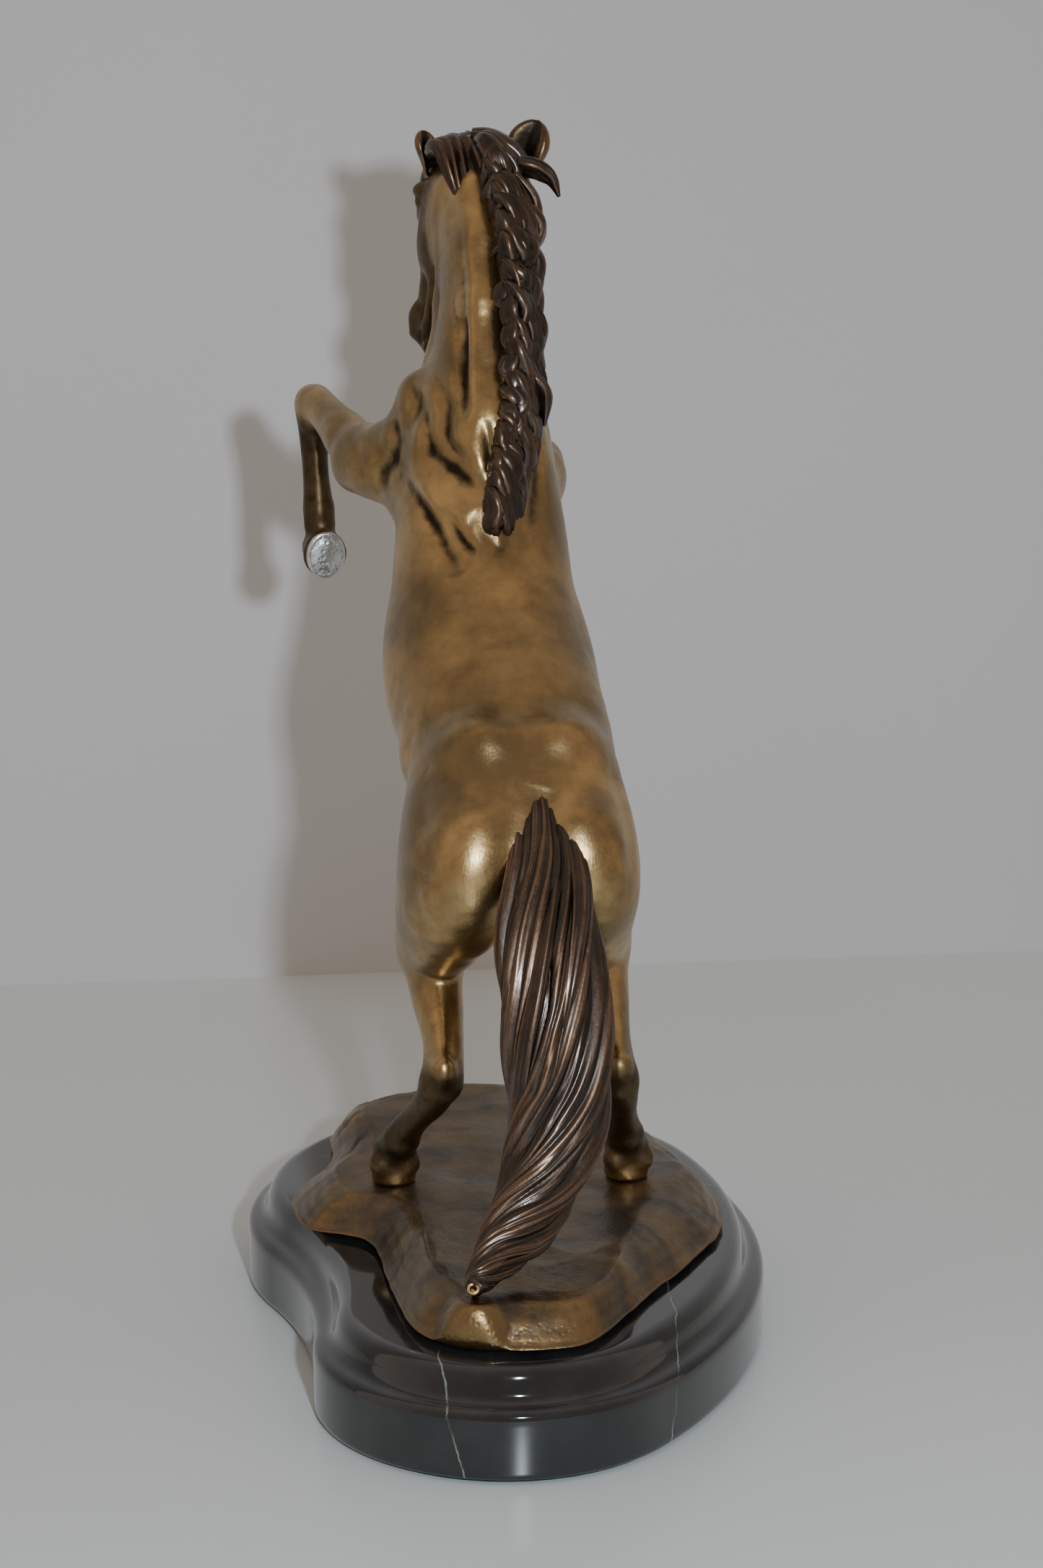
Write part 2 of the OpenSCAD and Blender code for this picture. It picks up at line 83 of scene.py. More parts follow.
def turn(tilt: float = 0.0, lean: float = 0.0, yaw: float = 0.0) -> Array:
    """Rotation about x by tilt, then about y by lean, then about z by yaw.

    Args:
        tilt, lean, yaw: angles in degrees.

    Returns:
        A 3 by 3 matrix whose columns are the turned axes.
    """
    a, b, c = np.radians([tilt, lean, yaw])
    rx = np.array([[1, 0, 0], [0, math.cos(a), -math.sin(a)], [0, math.sin(a), math.cos(a)]])
    ry = np.array([[math.cos(b), 0, math.sin(b)], [0, 1, 0], [-math.sin(b), 0, math.cos(b)]])
    rz = np.array([[math.cos(c), -math.sin(c), 0], [math.sin(c), math.cos(c), 0], [0, 0, 1]])
    return rz @ ry @ rx


def smooth_rows(rows: Array, count: int) -> Array:
    """Rows resampled along a Catmull-Rom curve: each span is the cubic whose slopes at its ends are
    half the difference of the neighbouring rows.

    Args:
        rows: the given rows, one point or station each.
        count: how many rows to return, evenly spread over the spans.

    Returns:
        An array of count rows.
    """
    p = np.asarray(rows, float)
    t = np.linspace(0, len(p) - 1, count)
    i = np.minimum(t.astype(int), len(p) - 2)
    f = (t - i)[:, None]
    a, b, c, d = p[np.maximum(i - 1, 0)], p[i], p[i + 1], p[np.minimum(i + 2, len(p) - 1)]
    return 0.5 * (2 * b + (c - a) * f + (2 * a - 5 * b + 4 * c - d) * f**2 + (3 * b - a - 3 * c + d) * f**3)


def into_frame(points: Array) -> Array:
    """The figure's own millimetres turned by its heading, set on the ground and made metres.

    Args:
        points: rows of x to the horse's left, -y forwards, z above the ground.

    Returns:
        Rows in the part's frame, in metres.
    """
    return (points @ turn(yaw=HEADING).T + np.array([*FIGURE_AT, GROUND_TOP])) * MM


def heading(start: Array, end: Array) -> float:
    """The angle in radians of the way from one point of the plane to another.

    Args:
        start, end: the two points.

    Returns:
        The angle from the x axis, anticlockwise.
    """
    return math.atan2(end[1] - start[1], end[0] - start[0])


def between(rows: Array, pairs: Array, share: Array) -> Array:
    """The given rows, followed by one new row for each pair: first (1 - share) + second share.

    Args:
        rows: points or single values.
        pairs: two indices of rows each.
        share: how far each new row lies from its first towards its second, as a column.

    Returns:
        The old rows and the new.
    """
    part = share if rows.ndim > 1 else share[:, 0]
    return np.concatenate([rows, rows[pairs[:, 0]] * (1 - part) + rows[pairs[:, 1]] * part])


def spot(p: Array, x: float, z: float, wide: float, tall: float) -> Array:
    """A soft spot seen from behind: exp(-(dx / wide)^2 - (dz / tall)^2).

    Args:
        p: points by rows.
        x, z: its middle.
        wide, tall: its half sizes.

    Returns:
        Its strength at each point, 1 in the middle.
    """
    return np.exp(-((p[:, 0] - x) / wide) ** 2 - ((p[:, 2] - z) / tall) ** 2)


def value_noise(p: Array, cell: float, seed: int) -> Array:
    """Smooth noise from -1 to 1: random values at the corners of a lattice of the given cell,
    blended across each cell with the ease 3t^2 - 2t^3.

    Args:
        p: points, one per row, of two or three coordinates.
        cell: lattice size.
        seed: which noise.

    Returns:
        One value per point.
    """
    q = np.asarray(p, float) / cell
    i = np.floor(q).astype(np.int64)
    f = q - i
    f = f * f * (3 - 2 * f)
    total = np.zeros(len(q))
    for corner in np.ndindex(*(2,) * q.shape[1]):
        h = np.full(len(q), seed * 7919 + 17, np.int64)
        weight = np.ones(len(q))
        for axis, bit in enumerate(corner):
            h = (h ^ ((i[:, axis] + bit) * LATTICE_PRIMES[axis])) * 1103515245 + 12345
            h &= 0x7FFFFFFF
            weight = weight * (f[:, axis] if bit else 1 - f[:, axis])
        total += weight * ((h >> 7) % 65536 / HALF_OF_16_BITS - 1)
    return total


def fractal(p: Array, cell: float, seed: int, octaves: int = 4) -> Array:
    """Value noise summed over octaves, each half the size and 0.55 of the height of the last.

    Args:
        p: points by rows.
        cell: size of the largest octave.
        seed: which noise.
        octaves: how many.

    Returns:
        One value per point.
    """
    return sum(0.55**k * value_noise(p, cell / 2**k, seed + k) for k in range(octaves))


def grid_faces(rows: int, columns: int, wrap: bool = True) -> Array:
    """Quads between neighbouring rows and columns of a grid of points.

    Args:
        rows, columns: the grid's size.
        wrap: whether the last column joins the first.

    Returns:
        An array of four indices per face.
    """
    i = np.arange(rows - 1)[:, None]
    j = np.arange(columns if wrap else columns - 1)[None, :]
    k = (j + 1) % columns
    corners = [i * columns + j, i * columns + k, (i + 1) * columns + k, (i + 1) * columns + j]
    return np.stack(corners, -1).reshape(-1, 4)


def closed_tube(grid: Array) -> tuple[Array, Array, Array]:
    """A tube closed at both ends by a point at the middle of its first and last ring.

    Args:
        grid: rings by points by three coordinates.

    Returns:
        Points, quads and end triangles.
    """
    rings, n = grid.shape[:2]
    points = np.concatenate([grid.reshape(-1, 3), grid[:1].mean(1), grid[-1:].mean(1)])
    j = np.arange(n)
    start = np.stack([(j + 1) % n, j, np.full(n, rings * n)], -1)
    end = np.stack([(rings - 1) * n + j, (rings - 1) * n + (j + 1) % n, np.full(n, rings * n + 1)], -1)
    return points, grid_faces(rings, n), np.concatenate([start, end])


# ---------------------------------------------------------------- pieces


@dataclass
class Piece:
    """One named piece of the object: its mesh, values over its surface and finish."""

    name: str
    points: Array
    quads: Array = field(default_factory=lambda: np.zeros((0, 4), int))
    tris: Array = field(default_factory=lambda: np.zeros((0, 3), int))
    values: dict[str, Array] = field(default_factory=dict)
    normals: Array | None = None
    flat_from: int | None = None

    def build(self, material: bpy.types.Material, slot: Slot,
              stands_for: Sequence[str] = ()) -> bpy.types.Object:
        """Makes the Blender object, gives it its finish and puts it on the root body.

        Args:
            material: the finish.
            slot: a material slot; it is not used.
            stands_for: CAD nodes that this piece replaces.

        Returns:
            The finished object.
        """
        mesh = bpy.data.meshes.new(self.name)
        loops = np.concatenate([self.quads.reshape(-1), self.tris.reshape(-1)]).astype(np.int32)
        sizes = np.concatenate([np.full(len(self.quads), 4), np.full(len(self.tris), 3)]).astype(np.int32)
        starts = np.concatenate([[0], np.cumsum(sizes)[:-1]]).astype(np.int32)
        mesh.vertices.add(len(self.points))
        mesh.vertices.foreach_set("co", self.points.astype(np.float32).reshape(-1))
        mesh.loops.add(len(loops))
        mesh.loops.foreach_set("vertex_index", loops)
        mesh.polygons.add(len(sizes))
        mesh.polygons.foreach_set("loop_start", starts)
        mesh.polygons.foreach_set("loop_total", sizes)
        mesh.update(calc_edges=True)
        mesh.polygons.foreach_set("use_smooth", np.ones(len(sizes), bool))
        for key, value in self.values.items():
            layer = mesh.attributes.new(key, "FLOAT", "POINT")
            layer.data.foreach_set("value", value.astype(np.float32))
        mesh.validate()
        if self.normals is not None:
            loop_normals = self.normals[loops]
            if self.flat_from is not None:
                face = np.empty(len(sizes) * 3, np.float32)
                mesh.polygons.foreach_get("normal", face)
                first = starts[self.flat_from] if self.flat_from < len(starts) else len(loops)
                owner = np.repeat(np.arange(len(sizes)), sizes)
                loop_normals[first:] = face.reshape(-1, 3)[owner[first:]]
            mesh.normals_split_custom_set(loop_normals.tolist())
        mesh.materials.append(material)
        obj = bpy.data.objects.new(self.name, mesh)
        bpy.context.scene.collection.objects.link(obj)
        if stands_for:
            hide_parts(*stands_for)
        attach(obj, "root")
        LOG.info("%s: %d points, %d faces", self.name, len(self.points), len(sizes))
        return obj


# ---------------------------------------------------------------- clay


@dataclass
class Clay:
    """A field of distances on a regular grid, in the figure's millimetres."""

    low: tuple[float, float, float] = (-62.0, -226.0, -2.0)
    high: tuple[float, float, float] = (76.0, 42.0, 384.0)
    step: float = 0.95

    def __post_init__(self) -> None:
        """Fills the grid with empty space."""
        self.axes = [np.arange(a, b, self.step, dtype=np.float32) for a, b in zip(self.low, self.high)]
        self.d = np.full([len(a) for a in self.axes], 12.0, np.float32)

    def _block(self, low: Array, high: Array) -> tuple[tuple[slice, ...], list[Array]]:
        """The part of the grid between two corners, and its coordinates ready to broadcast.

        Args:
            low, high: the corners.

        Returns:
            A slice for each axis and a shaped array of coordinates for each axis.
        """
        cut = []
        for a, lo, hi in zip(self.axes, low, high):
            i, j = np.searchsorted(a, [lo, hi])
            cut.append(slice(int(i), int(j)))
        parts = [a[s] for a, s in zip(self.axes, cut)]
        return tuple(cut), [parts[0][:, None, None], parts[1][None, :, None], parts[2][None, None, :]]

    def _mix(self, cut: tuple[slice, ...], new: Array, blend: float, carve: bool) -> None:
        """Joins new into the field with a rounded seam: the smaller of the two, less h^2 k / 4 where
        h is how far inside the blend width k they differ. Carving takes the larger of field and
        minus new in the same way.

        Args:
            cut: the part of the grid that new covers.
            new: the distances to the new solid.
            blend: the blend width k.
            carve: whether the solid is taken away.
        """
        old = self.d[cut]
        if carve:
            h = np.clip(1 - np.abs(old + new) / blend, 0, 1)
            self.d[cut] = np.maximum(old, -new) + h * h * blend * 0.25
        else:
            h = np.clip(1 - np.abs(old - new) / blend, 0, 1)
            self.d[cut] = np.minimum(old, new) - h * h * blend * 0.25

    def egg(self, centre: Sequence[float], radii: Sequence[float], facing: Array | None = None,
            blend: float = 5.0, carve: bool = False) -> None:
        """Adds or carves an ellipsoid. Its distance is k(k - 1)/g, with k the length of the point over
        the radii and g the length of the point over their squares.

        Args:
            centre: its middle.
            radii: half sizes along its own axes.
            facing: its turned axes, by columns.
            blend: width of the rounded seam.
            carve: whether it is taken away.
        """
        m = np.eye(3) if facing is None else facing
        c, r = np.asarray(centre, float), np.asarray(radii, float)
        reach = np.sqrt((m * r) ** 2 @ np.ones(3)) + blend + 2
        cut, (x, y, z) = self._block(c - reach, c + reach)
        x, y, z = x - c[0], y - c[1], z - c[2]
        k = g = 0.0
        for a in range(3):
            q = x * np.float32(m[0, a]) + y * np.float32(m[1, a]) + z * np.float32(m[2, a])
            q = q / np.float32(r[a])
            k, g = k + q * q, g + (q / np.float32(r[a])) ** 2
        k, g = np.sqrt(k), np.sqrt(g) + 1e-6
        self._mix(cut, k * (k - 1) / g, blend, carve)

    def rod(self, a: Sequence[float], b: Sequence[float], ra: float, rb: float, blend: float = 4.0,
            carve: bool = False) -> None:
        """Adds or carves a tapered rod with round ends: the distance to the segment less a radius that
        runs evenly from ra to rb.

        Args:
            a, b: its ends.
            ra, rb: its radii there.
            blend: width of the rounded seam.
            carve: whether it is taken away.
        """
        a, b = np.asarray(a, float), np.asarray(b, float)
        reach = max(ra, rb) + blend + 2
        cut, (x, y, z) = self._block(np.minimum(a, b) - reach, np.maximum(a, b) + reach)
        v = b - a
        px, py, pz = x - a[0], y - a[1], z - a[2]
        t = np.clip((px * v[0] + py * v[1] + pz * v[2]) / (v @ v + 1e-9), 0, 1)
        d = np.sqrt((px - t * v[0]) ** 2 + (py - t * v[1]) ** 2 + (pz - t * v[2]) ** 2) - (ra + t * (rb - ra))
        self._mix(cut, d.astype(np.float32), blend, carve)

    def limb(self, stations: Array, count: int, blend: float = 6.0) -> None:
        """Strings flat ellipsoids along smoothly resampled stations.

        Args:
            stations: rows of x, y, z, half width, half depth, tilt, lean, yaw.
            count: how many ellipsoids.
            blend: width of the rounded seams.
        """
        rows = smooth_rows(stations, count)
        gap = np.linalg.norm(np.gradient(rows[:, :3], axis=0), axis=1)
        for s, g in zip(rows, gap):
            self.egg(s[:3], (s[3], s[4], max(1.6 * g, 0.5 * min(s[3], s[4]))), turn(*s[5:8]), blend)

    def skin(self) -> tuple[Array, Array]:
        """The surface where the distance is nil: in each cell that it crosses, the middle of its edge
        crossings; around each edge that it crosses, the four cells' points make a face.

        Returns:
            Points in the figure's millimetres and triangles.
        """
        d = self.d
        inside = d < 0
        count = sum(inside[sx, sy, sz].astype(np.int8) for sx in (slice(0, -1), slice(1, None))
                    for sy in (slice(0, -1), slice(1, None)) for sz in (slice(0, -1), slice(1, None)))
        cells = np.stack(np.nonzero((count > 0) & (count < 8)), -1)
        del count
        total = np.zeros((len(cells), 3))
        hits = np.zeros(len(cells))
        for axis in range(3):
            others = [a for a in range(3) if a != axis]
            for u in (0, 1):
                for v in (0, 1):
                    a = cells.copy()
                    a[:, others[0]] += u
                    a[:, others[1]] += v
                    b = a.copy()
                    b[:, axis] += 1
                    da, db = d[tuple(a.T)], d[tuple(b.T)]
                    hit = (da < 0) != (db < 0)
                    t = np.where(hit, da / np.where(hit, da - db, 1), 0)
                    q = a.astype(float)
                    q[:, axis] += t
                    total += q * hit[:, None]
                    hits += hit
        points = total / hits[:, None] * self.step + np.array(self.low)
        index = np.full(d.shape, -1, np.int32)
        index[tuple(cells.T)] = np.arange(len(cells))
        faces = []
        for axis in range(3):
            u, v = [(1, 2), (2, 0), (0, 1)][axis]
            head = [slice(None)] * 3
            tail = [slice(None)] * 3
            head[axis], tail[axis] = slice(0, -1), slice(1, None)
            edge = np.stack(np.nonzero(inside[tuple(head)] != inside[tuple(tail)]), -1)
            edge = edge[(edge[:, u] > 0) & (edge[:, v] > 0)]
            step_u, step_v = np.eye(3, dtype=int)[u], np.eye(3, dtype=int)[v]
            around = [edge - step_u * a - step_v * b for a, b in ((1, 1), (0, 1), (0, 0), (1, 0))]
            quad = np.stack([index[tuple(cell.T)] for cell in around], -1)
            out = ~inside[tuple(edge.T)]
            quad[out] = quad[out][:, ::-1]
            faces.append(quad)
        quads = np.concatenate(faces)
        quads = quads[(quads >= 0).all(1)]
        return points, np.concatenate([quads[:, [0, 1, 2]], quads[:, [0, 2, 3]]])


@dataclass
class Skin:
    """A closed triangle surface that can be eased, measured for hollows and cut by planes."""

    points: Array
    tris: Array

    def __post_init__(self) -> None:
        """Finds the edges once."""
        e = np.concatenate([self.tris[:, [0, 1]], self.tris[:, [1, 2]], self.tris[:, [2, 0]]])
        self.edges = np.unique(np.sort(e, 1), axis=0)
        n = len(self.points)
        self.degree = np.bincount(self.edges.reshape(-1), minlength=n)

    def eased(self, rounds: int, share: float = 0.5) -> Array:
        """Points moved towards their neighbours' mean, several rounds.

        Args:
            rounds: how many times.
            share: how far of the way each time.

        Returns:
            The moved points.
        """
        p = self.points.copy()
        a, b = self.edges.T
        for _ in range(rounds):
            mean = np.stack([np.bincount(a, p[b, k], len(p)) + np.bincount(b, p[a, k], len(p))
                             for k in range(3)], -1)
            p += share * (mean / np.maximum(self.degree, 1)[:, None] - p)
        return p

    def normals(self) -> Array:
        """Each point's normal, the sum of its faces' cross products made unit.

        Returns:
            One unit row per point.
        """
        t = self.points[self.tris]
        n = np.cross(t[:, 1] - t[:, 0], t[:, 2] - t[:, 0])
        out = np.stack([sum(np.bincount(self.tris[:, c], n[:, k], len(self.points)) for c in range(3))
                        for k in range(3)], -1)
        return out / (np.linalg.norm(out, axis=1)[:, None] + 1e-12)

    def hollowness(self, rounds: int) -> Array:
        """How far each point lies below the eased surface along its normal; ridges are negative.

        Args:
            rounds: how often the surface is eased.

        Returns:
            One value per point, in millimetres.
        """
        return ((self.eased(rounds, 0.6) - self.points) * self.normals()).sum(1)


@dataclass
class Cutter:
    """Splits triangles by planes and closes both sides with flat caps."""

    points: Array
    normals: Array
    values: dict[str, Array]
    tris: Array

    def split(self, at: Sequence[float], facing: Array, low: Sequence[float], high: Sequence[float]) -> Array:
        """Cuts the current triangles where they cross a plane, within a box, and keeps the rest.

        Args:
            at: a point of the plane.
            facing: the plane's normal; the taken part lies on that side.
            low, high: corners of the box that the cut may touch.

        Returns:
            The triangles taken off. Points made on the plane are added to the store.
        """
        s = (self.points - np.asarray(at)) @ facing
        s = np.where(np.abs(s) < 1e-5, 1e-5, s)
        region = ((self.points > np.asarray(low)) & (self.points < np.asarray(high))).all(1)
        t = self.tris
        takes = (s[t] > 0) & region[t]
        k = takes.sum(1)
        off, left = t[k == 3], t[k == 0]
        mixed, m = t[(k == 1) | (k == 2)], takes[(k == 1) | (k == 2)]
        odd = np.where(m.sum(1) == 1, m.argmax(1), (~m).argmax(1))
        r = np.arange(len(mixed))
        a, b, c = mixed[r, odd], mixed[r, (odd + 1) % 3], mixed[r, (odd + 2) % 3]
        pairs = np.concatenate([np.stack([a, b], -1), np.stack([a, c], -1)])
        keys, inverse = np.unique(np.sort(pairs, 1), axis=0, return_inverse=True)
        inverse = inverse.reshape(-1)
        w = np.clip(s[keys[:, 0]] / (s[keys[:, 0]] - s[keys[:, 1]] + 1e-12), 0, 1)[:, None]
        base = len(self.points)
        self.points, self.normals = between(self.points, keys, w), between(self.normals, keys, w)
        self.values = {key: between(v, keys, w) for key, v in self.values.items()}
        ab, ac = base + inverse[: len(mixed)], base + inverse[len(mixed):]
        lone = np.stack([a, ab, ac], -1)
        rest = np.concatenate([np.stack([ab, b, c], -1), np.stack([ab, c, ac], -1)])
        one = m.sum(1) == 1
        two = np.concatenate([one, one])
        off = np.concatenate([off, lone[one], rest[~two]])
        self.tris = np.concatenate([left, lone[~one], rest[two]])
        return off

    def piece(self, name: str, tris: Array) -> Piece:
        """A closed piece from some triangles: every open rim gets a fan to its middle.

        Args:
            name: the piece's name.
            tris: its share of the skin.

        Returns:
            The piece in the part's frame.
        """
        used, inverse = np.unique(tris.reshape(-1), return_inverse=True)
        t = inverse.reshape(-1, 3)
        n = len(used)
        e = np.concatenate([t[:, [0, 1]], t[:, [1, 2]], t[:, [2, 0]]])
        key, back = e[:, 0] * n + e[:, 1], e[:, 1] * n + e[:, 0]
        rim = e[~np.isin(key, back)]
        points, normals = self.points[used], self.normals[used]
        values = {k: v[used] for k, v in self.values.items()}
        caps = []
        group = np.arange(n)
        for _ in range(4000):
            low = np.minimum(group[rim[:, 0]], group[rim[:, 1]])
            new = group.copy()
            np.minimum.at(new, rim[:, 0], low)
            np.minimum.at(new, rim[:, 1], low)
            if (new == group).all():
                break
            group = new
        for g in np.unique(group[rim[:, 0]]) if len(rim) else []:
            loop = rim[group[rim[:, 0]] == g]
            middle = len(points)
            points = np.concatenate([points, points[loop[:, 0]].mean(0)[None]])
            normals = np.concatenate([normals, [[0, 0, 1.0]]])
            values = {k: np.append(v, v[loop[0, 0]]) for k, v in values.items()}
            caps.append(np.stack([loop[:, 1], loop[:, 0], np.full(len(loop), middle)], -1))
        return Piece(name, into_frame(points), tris=np.concatenate([t, *caps]) if caps else t, values=values,
                     normals=normals @ turn(yaw=HEADING).T, flat_from=len(t))


# ---------------------------------------------------------------- the horse

NECK_JOINT = (0.0, -114.0, 272.0, 21.0, 34.0, 8.0, 0.0, 0.0)
POLL_JOINT = (0.0, -134.0, 345.0, 10.5, 16.5, 68.0, 0.0, 0.0)
HEAD_TURN = 16.0


@dataclass
class Horse:
    """The horse's body as clay, and the skin cut at the casting joints."""

    left_gaskin: tuple[float, ...] = (27, -32, 82, 9.5, 14, 195, 0, 0)
    right_gaskin: tuple[float, ...] = (-33, -30, 82, 9.5, 14, 195, 0, 0)
    left_elbow: tuple[float, ...] = (40, -152, 247, 10.5, 13, 64, 0, 18)
    right_elbow: tuple[float, ...] = (-31, -156, 237, 9.0, 12, 74, 0, -4)
    left_hoof: tuple[float, ...] = (41.6, -23.4, 0)
    right_hoof: tuple[float, ...] = (-42, -17, 0)
    left_sole: tuple[float, ...] = (51, -192, 205)
    right_sole: tuple[float, ...] = (-30, -194, 188)
    # spots of worn bare metal on quarters, gaskins, crest and withers, partly painted highlight: x and z from
    # behind, half width and height
    worn_and_highlight_spots: tuple[tuple[float, ...], ...] = (
        (13, 128, 13, 17), (-24, 122, 9, 16), (27, 66, 12, 12), (-33, 66, 9, 12), (5, 275, 3, 26),
        (4, 238, 10, 7))
    # spots of painted shade on neck, withers, lower barrel and flanks: strength, x and z from behind, half
    # width and height
    painted_shade_spots: tuple[tuple[float, ...], ...] = (
        (0.55, 13, 300, 5.5, 42), (0.3, 10, 252, 13, 11), (0.26, 0, 184, 60, 15), (0.24, 31, 205, 9, 30),
        (0.24, -30, 205, 9, 36))
    clay: Clay = field(default_factory=Clay)

    def head_point(self, ahead: float, side: float, up: float) -> Array:
        """A point of the head, which is turned about the poll by HEAD_TURN.

        Args:
            ahead, side, up: how far it lies ahead of the poll, to the horse's left and above.

        Returns:
            The point in the figure's millimetres.
        """
        a = math.radians(HEAD_TURN)
        return np.array([POLL_JOINT[0] + ahead * math.sin(a) + side * math.cos(a),
                         POLL_JOINT[1] - ahead * math.cos(a) + side * math.sin(a), POLL_JOINT[2] + up])

    def trunk(self) -> None:
        """Builds the barrel, croup, thighs and shoulders, from the rump to the neck's foot."""
        c = self.clay
        c.limb(np.array([
            (-3, 10, 122, 24, 22, 30, 0, 0), (-2, -10, 137, 35, 31, 38, 0, 0),
            (-2, -38, 158, 35.5, 32, 44, 0, 0), (1, -62, 176, 35.5, 32.5, 48, 0, 0),
            (1, -84, 198, 32.5, 33, 46, 0, 0), (0, -100, 222, 30, 35, 34, 0, 0),
            (0, -109, 248, 26, 36, 18, 0, 0), NECK_JOINT]), 26, 8)
        for side, p in ((1, self.left_gaskin), (-1, self.right_gaskin)):
            shift = 0 if side > 0 else -2
            c.limb(np.array([
                (side * 17 + shift, 3, 142, 12, 20, 170, 0, 0),
                (side * 20 + shift, 3, 128, 16, 28, 170, 0, 0),
                (side * 22 + shift, -3, 112, 16.5, 29, 165, 0, 0),
                (side * 24 + shift, -17, 97, 14, 24, 162, 0, 0), p]), 12, 9)
            # buttock, point of the hip, stifle and the long muscle behind the thigh
            c.egg((side * 17 + shift, 17, 118), (12, 12, 24), turn(-12, 0, 0), 8)
            c.egg((side * 25 + shift, -40, 150), (9, 9, 10), None, 10)
            c.egg((side * 25 + shift, -41, 99), (9, 9, 12), turn(30), 7)
            c.egg((side * 29 + shift, -12, 128), (8, 20, 20), turn(20), 8)
        # the croup's two halves, the loin and the belly
        for side in (1, -1):
            c.egg((side * 13 - 2, -14, 152), (17, 26, 14), turn(38), 8)
            c.egg((side * 24, -72, 176), (13, 16, 34), turn(46), 9)
        c.egg((1, -86, 166), (22, 18, 34), turn(48), 10)
        # breast
        for side in (1, -1):
            c.egg((side * 12, -140, 244), (13, 13, 20), turn(10), 7)

    def shoulders(self) -> None:
        """Adds shoulder blades, upper arms and the withers."""
        c = self.clay
        for side, joint, k in ((1, self.left_elbow, 1.0), (-1, self.right_elbow, 0.78)):
            yaw = 22 * side * k
            c.limb(np.array([
                (side * 14, -93, 233, 9, 18, 84, 0, yaw), (side * 18 * k, -108, 241, 11.5, 23, 84, 0, yaw),
                (side * 25 * k, -125, 248, 12.5 - 2 * (side < 0), 18.5, 82, 0, yaw),
                (joint[0] * 0.87 * (1 if side > 0 else 0.88), -140, joint[2] - 0.5,
                 11.6 - 2 * (side < 0), 13.5, 76, 0, yaw * 0.8),
                joint]), 12, 6)
            c.egg((side * 18 * k, -100, 246), (7, 12, 20), turn(-24, side * 8), 6)
            c.egg((side * 24.5 * k, -119, 264), (7, 10, 11.5), turn(20, -side * 20), 5)
            c.egg((side * 25 * k, -118, 236), (6.5, 11, 9), turn(20), 4)
        c.egg((20.5, -114, 271), (9, 12, 12), turn(10), 4)
        c.egg((1, -80, 240), (9, 12, 24), turn(22), 9)
        c.egg((-1, -84, 262), (9, 12, 18), turn(8), 8)

    def neck(self) -> None:
        """Adds the arched neck with its crest and the long muscle down its left side."""
        c = self.clay
        c.limb(np.array([NECK_JOINT, (0, -115, 289, 13.5, 28, 4, 0, 0), (0, -117, 306, 10.8, 23.5, 8, 0, 0),
                         (0, -121, 324, 10.2, 19.5, 26, 0, 0), POLL_JOINT]), 22, 6)
        crest = [(-1, -82, 264), (-1, -92, 288), (-1, -98, 308), (-2, -108, 330), (-2, -120, 349)]
        for a, b in zip(crest, crest[1:]):
            c.rod(a, b, 6.5, 6, 6)
        strap = [(17, -126, 268), (9.5, -128, 286), (6.2, -130, 306), (5.8, -132, 326), (6.5, -136, 342)]
        for a, b in zip(strap, strap[1:]):
            c.rod(a, b, 6, 6, 5)
            c.rod((-a[0] * 0.9, a[1], a[2]), (-b[0] * 0.9, b[1], b[2]), 6, 6, 5)

    def head(self) -> None:
        """Models the head turned to the horse's left, hanging from the poll."""
        c, at = self.clay, self.head_point

        def tilt(angle: float) -> Array:
            """Axes tilted by an angle and turned with the head."""
            return turn(angle, 0, HEAD_TURN)

        c.egg(at(6, 0, 3), (11.5, 12, 15), tilt(30), 6)
        c.egg(at(15, 0, 0), (12, 13, 14), tilt(0), 6)
        c.egg(at(21, 0, -16), (10, 11, 16), tilt(-20), 5)
        c.egg(at(29, 0, -34), (7.5, 8.5, 18), tilt(-22), 6)
        c.egg(at(35, 0, -49), (7.6, 8.6, 9.5), tilt(-20), 5)
        c.egg(at(31.5, 0, -57), (5.2, 5, 4.5), tilt(-20), 3)
        for side in (1, -1):
            c.egg(at(13, side * 7.8, -15), (5.8, 13.5, 15), tilt(-15), 4)
            c.rod(at(12, side * 6, -28), at(28, side * 4.2, -51), 4.4, 3.6, 4)
            c.rod(at(19, side * 10, 2), at(30, side * 6.8, -22), 2.6, 1.4, 3)
            c.egg(at(19.5, side * 10.8, 3.2), (3.4, 5, 3.2), tilt(10), 2.5)
            c.egg(at(20.2, side * 12.3, -0.6), (2.4, 3.3, 2.6), tilt(0), 1.2, carve=True)
            c.egg(at(19.8, side * 10.6, -0.6), (3.0, 3.0, 2.9), tilt(0), 0.6)
            c.egg(at(23, side * 8.2, -14), (2.2, 4, 8), tilt(-24), 4, carve=True)
            c.egg(at(38, side * 6.0, -46), (3.2, 3.8, 7.5), tilt(-24), 3)
            c.egg(at(41.5, side * 7.8, -48.5), (2.0, 2.0, 3.2), tilt(-30), 1.2, carve=True)
            c.rod(at(37.5, side * 7.2, -57.5), at(29, side * 6.6, -50.5), 1.0, 0.7, 1.6, carve=True)
            c.rod(at(8, side * 9.5, 4), at(10, side * 10.5, -14), 1.3, 1.3, 3, carve=True)

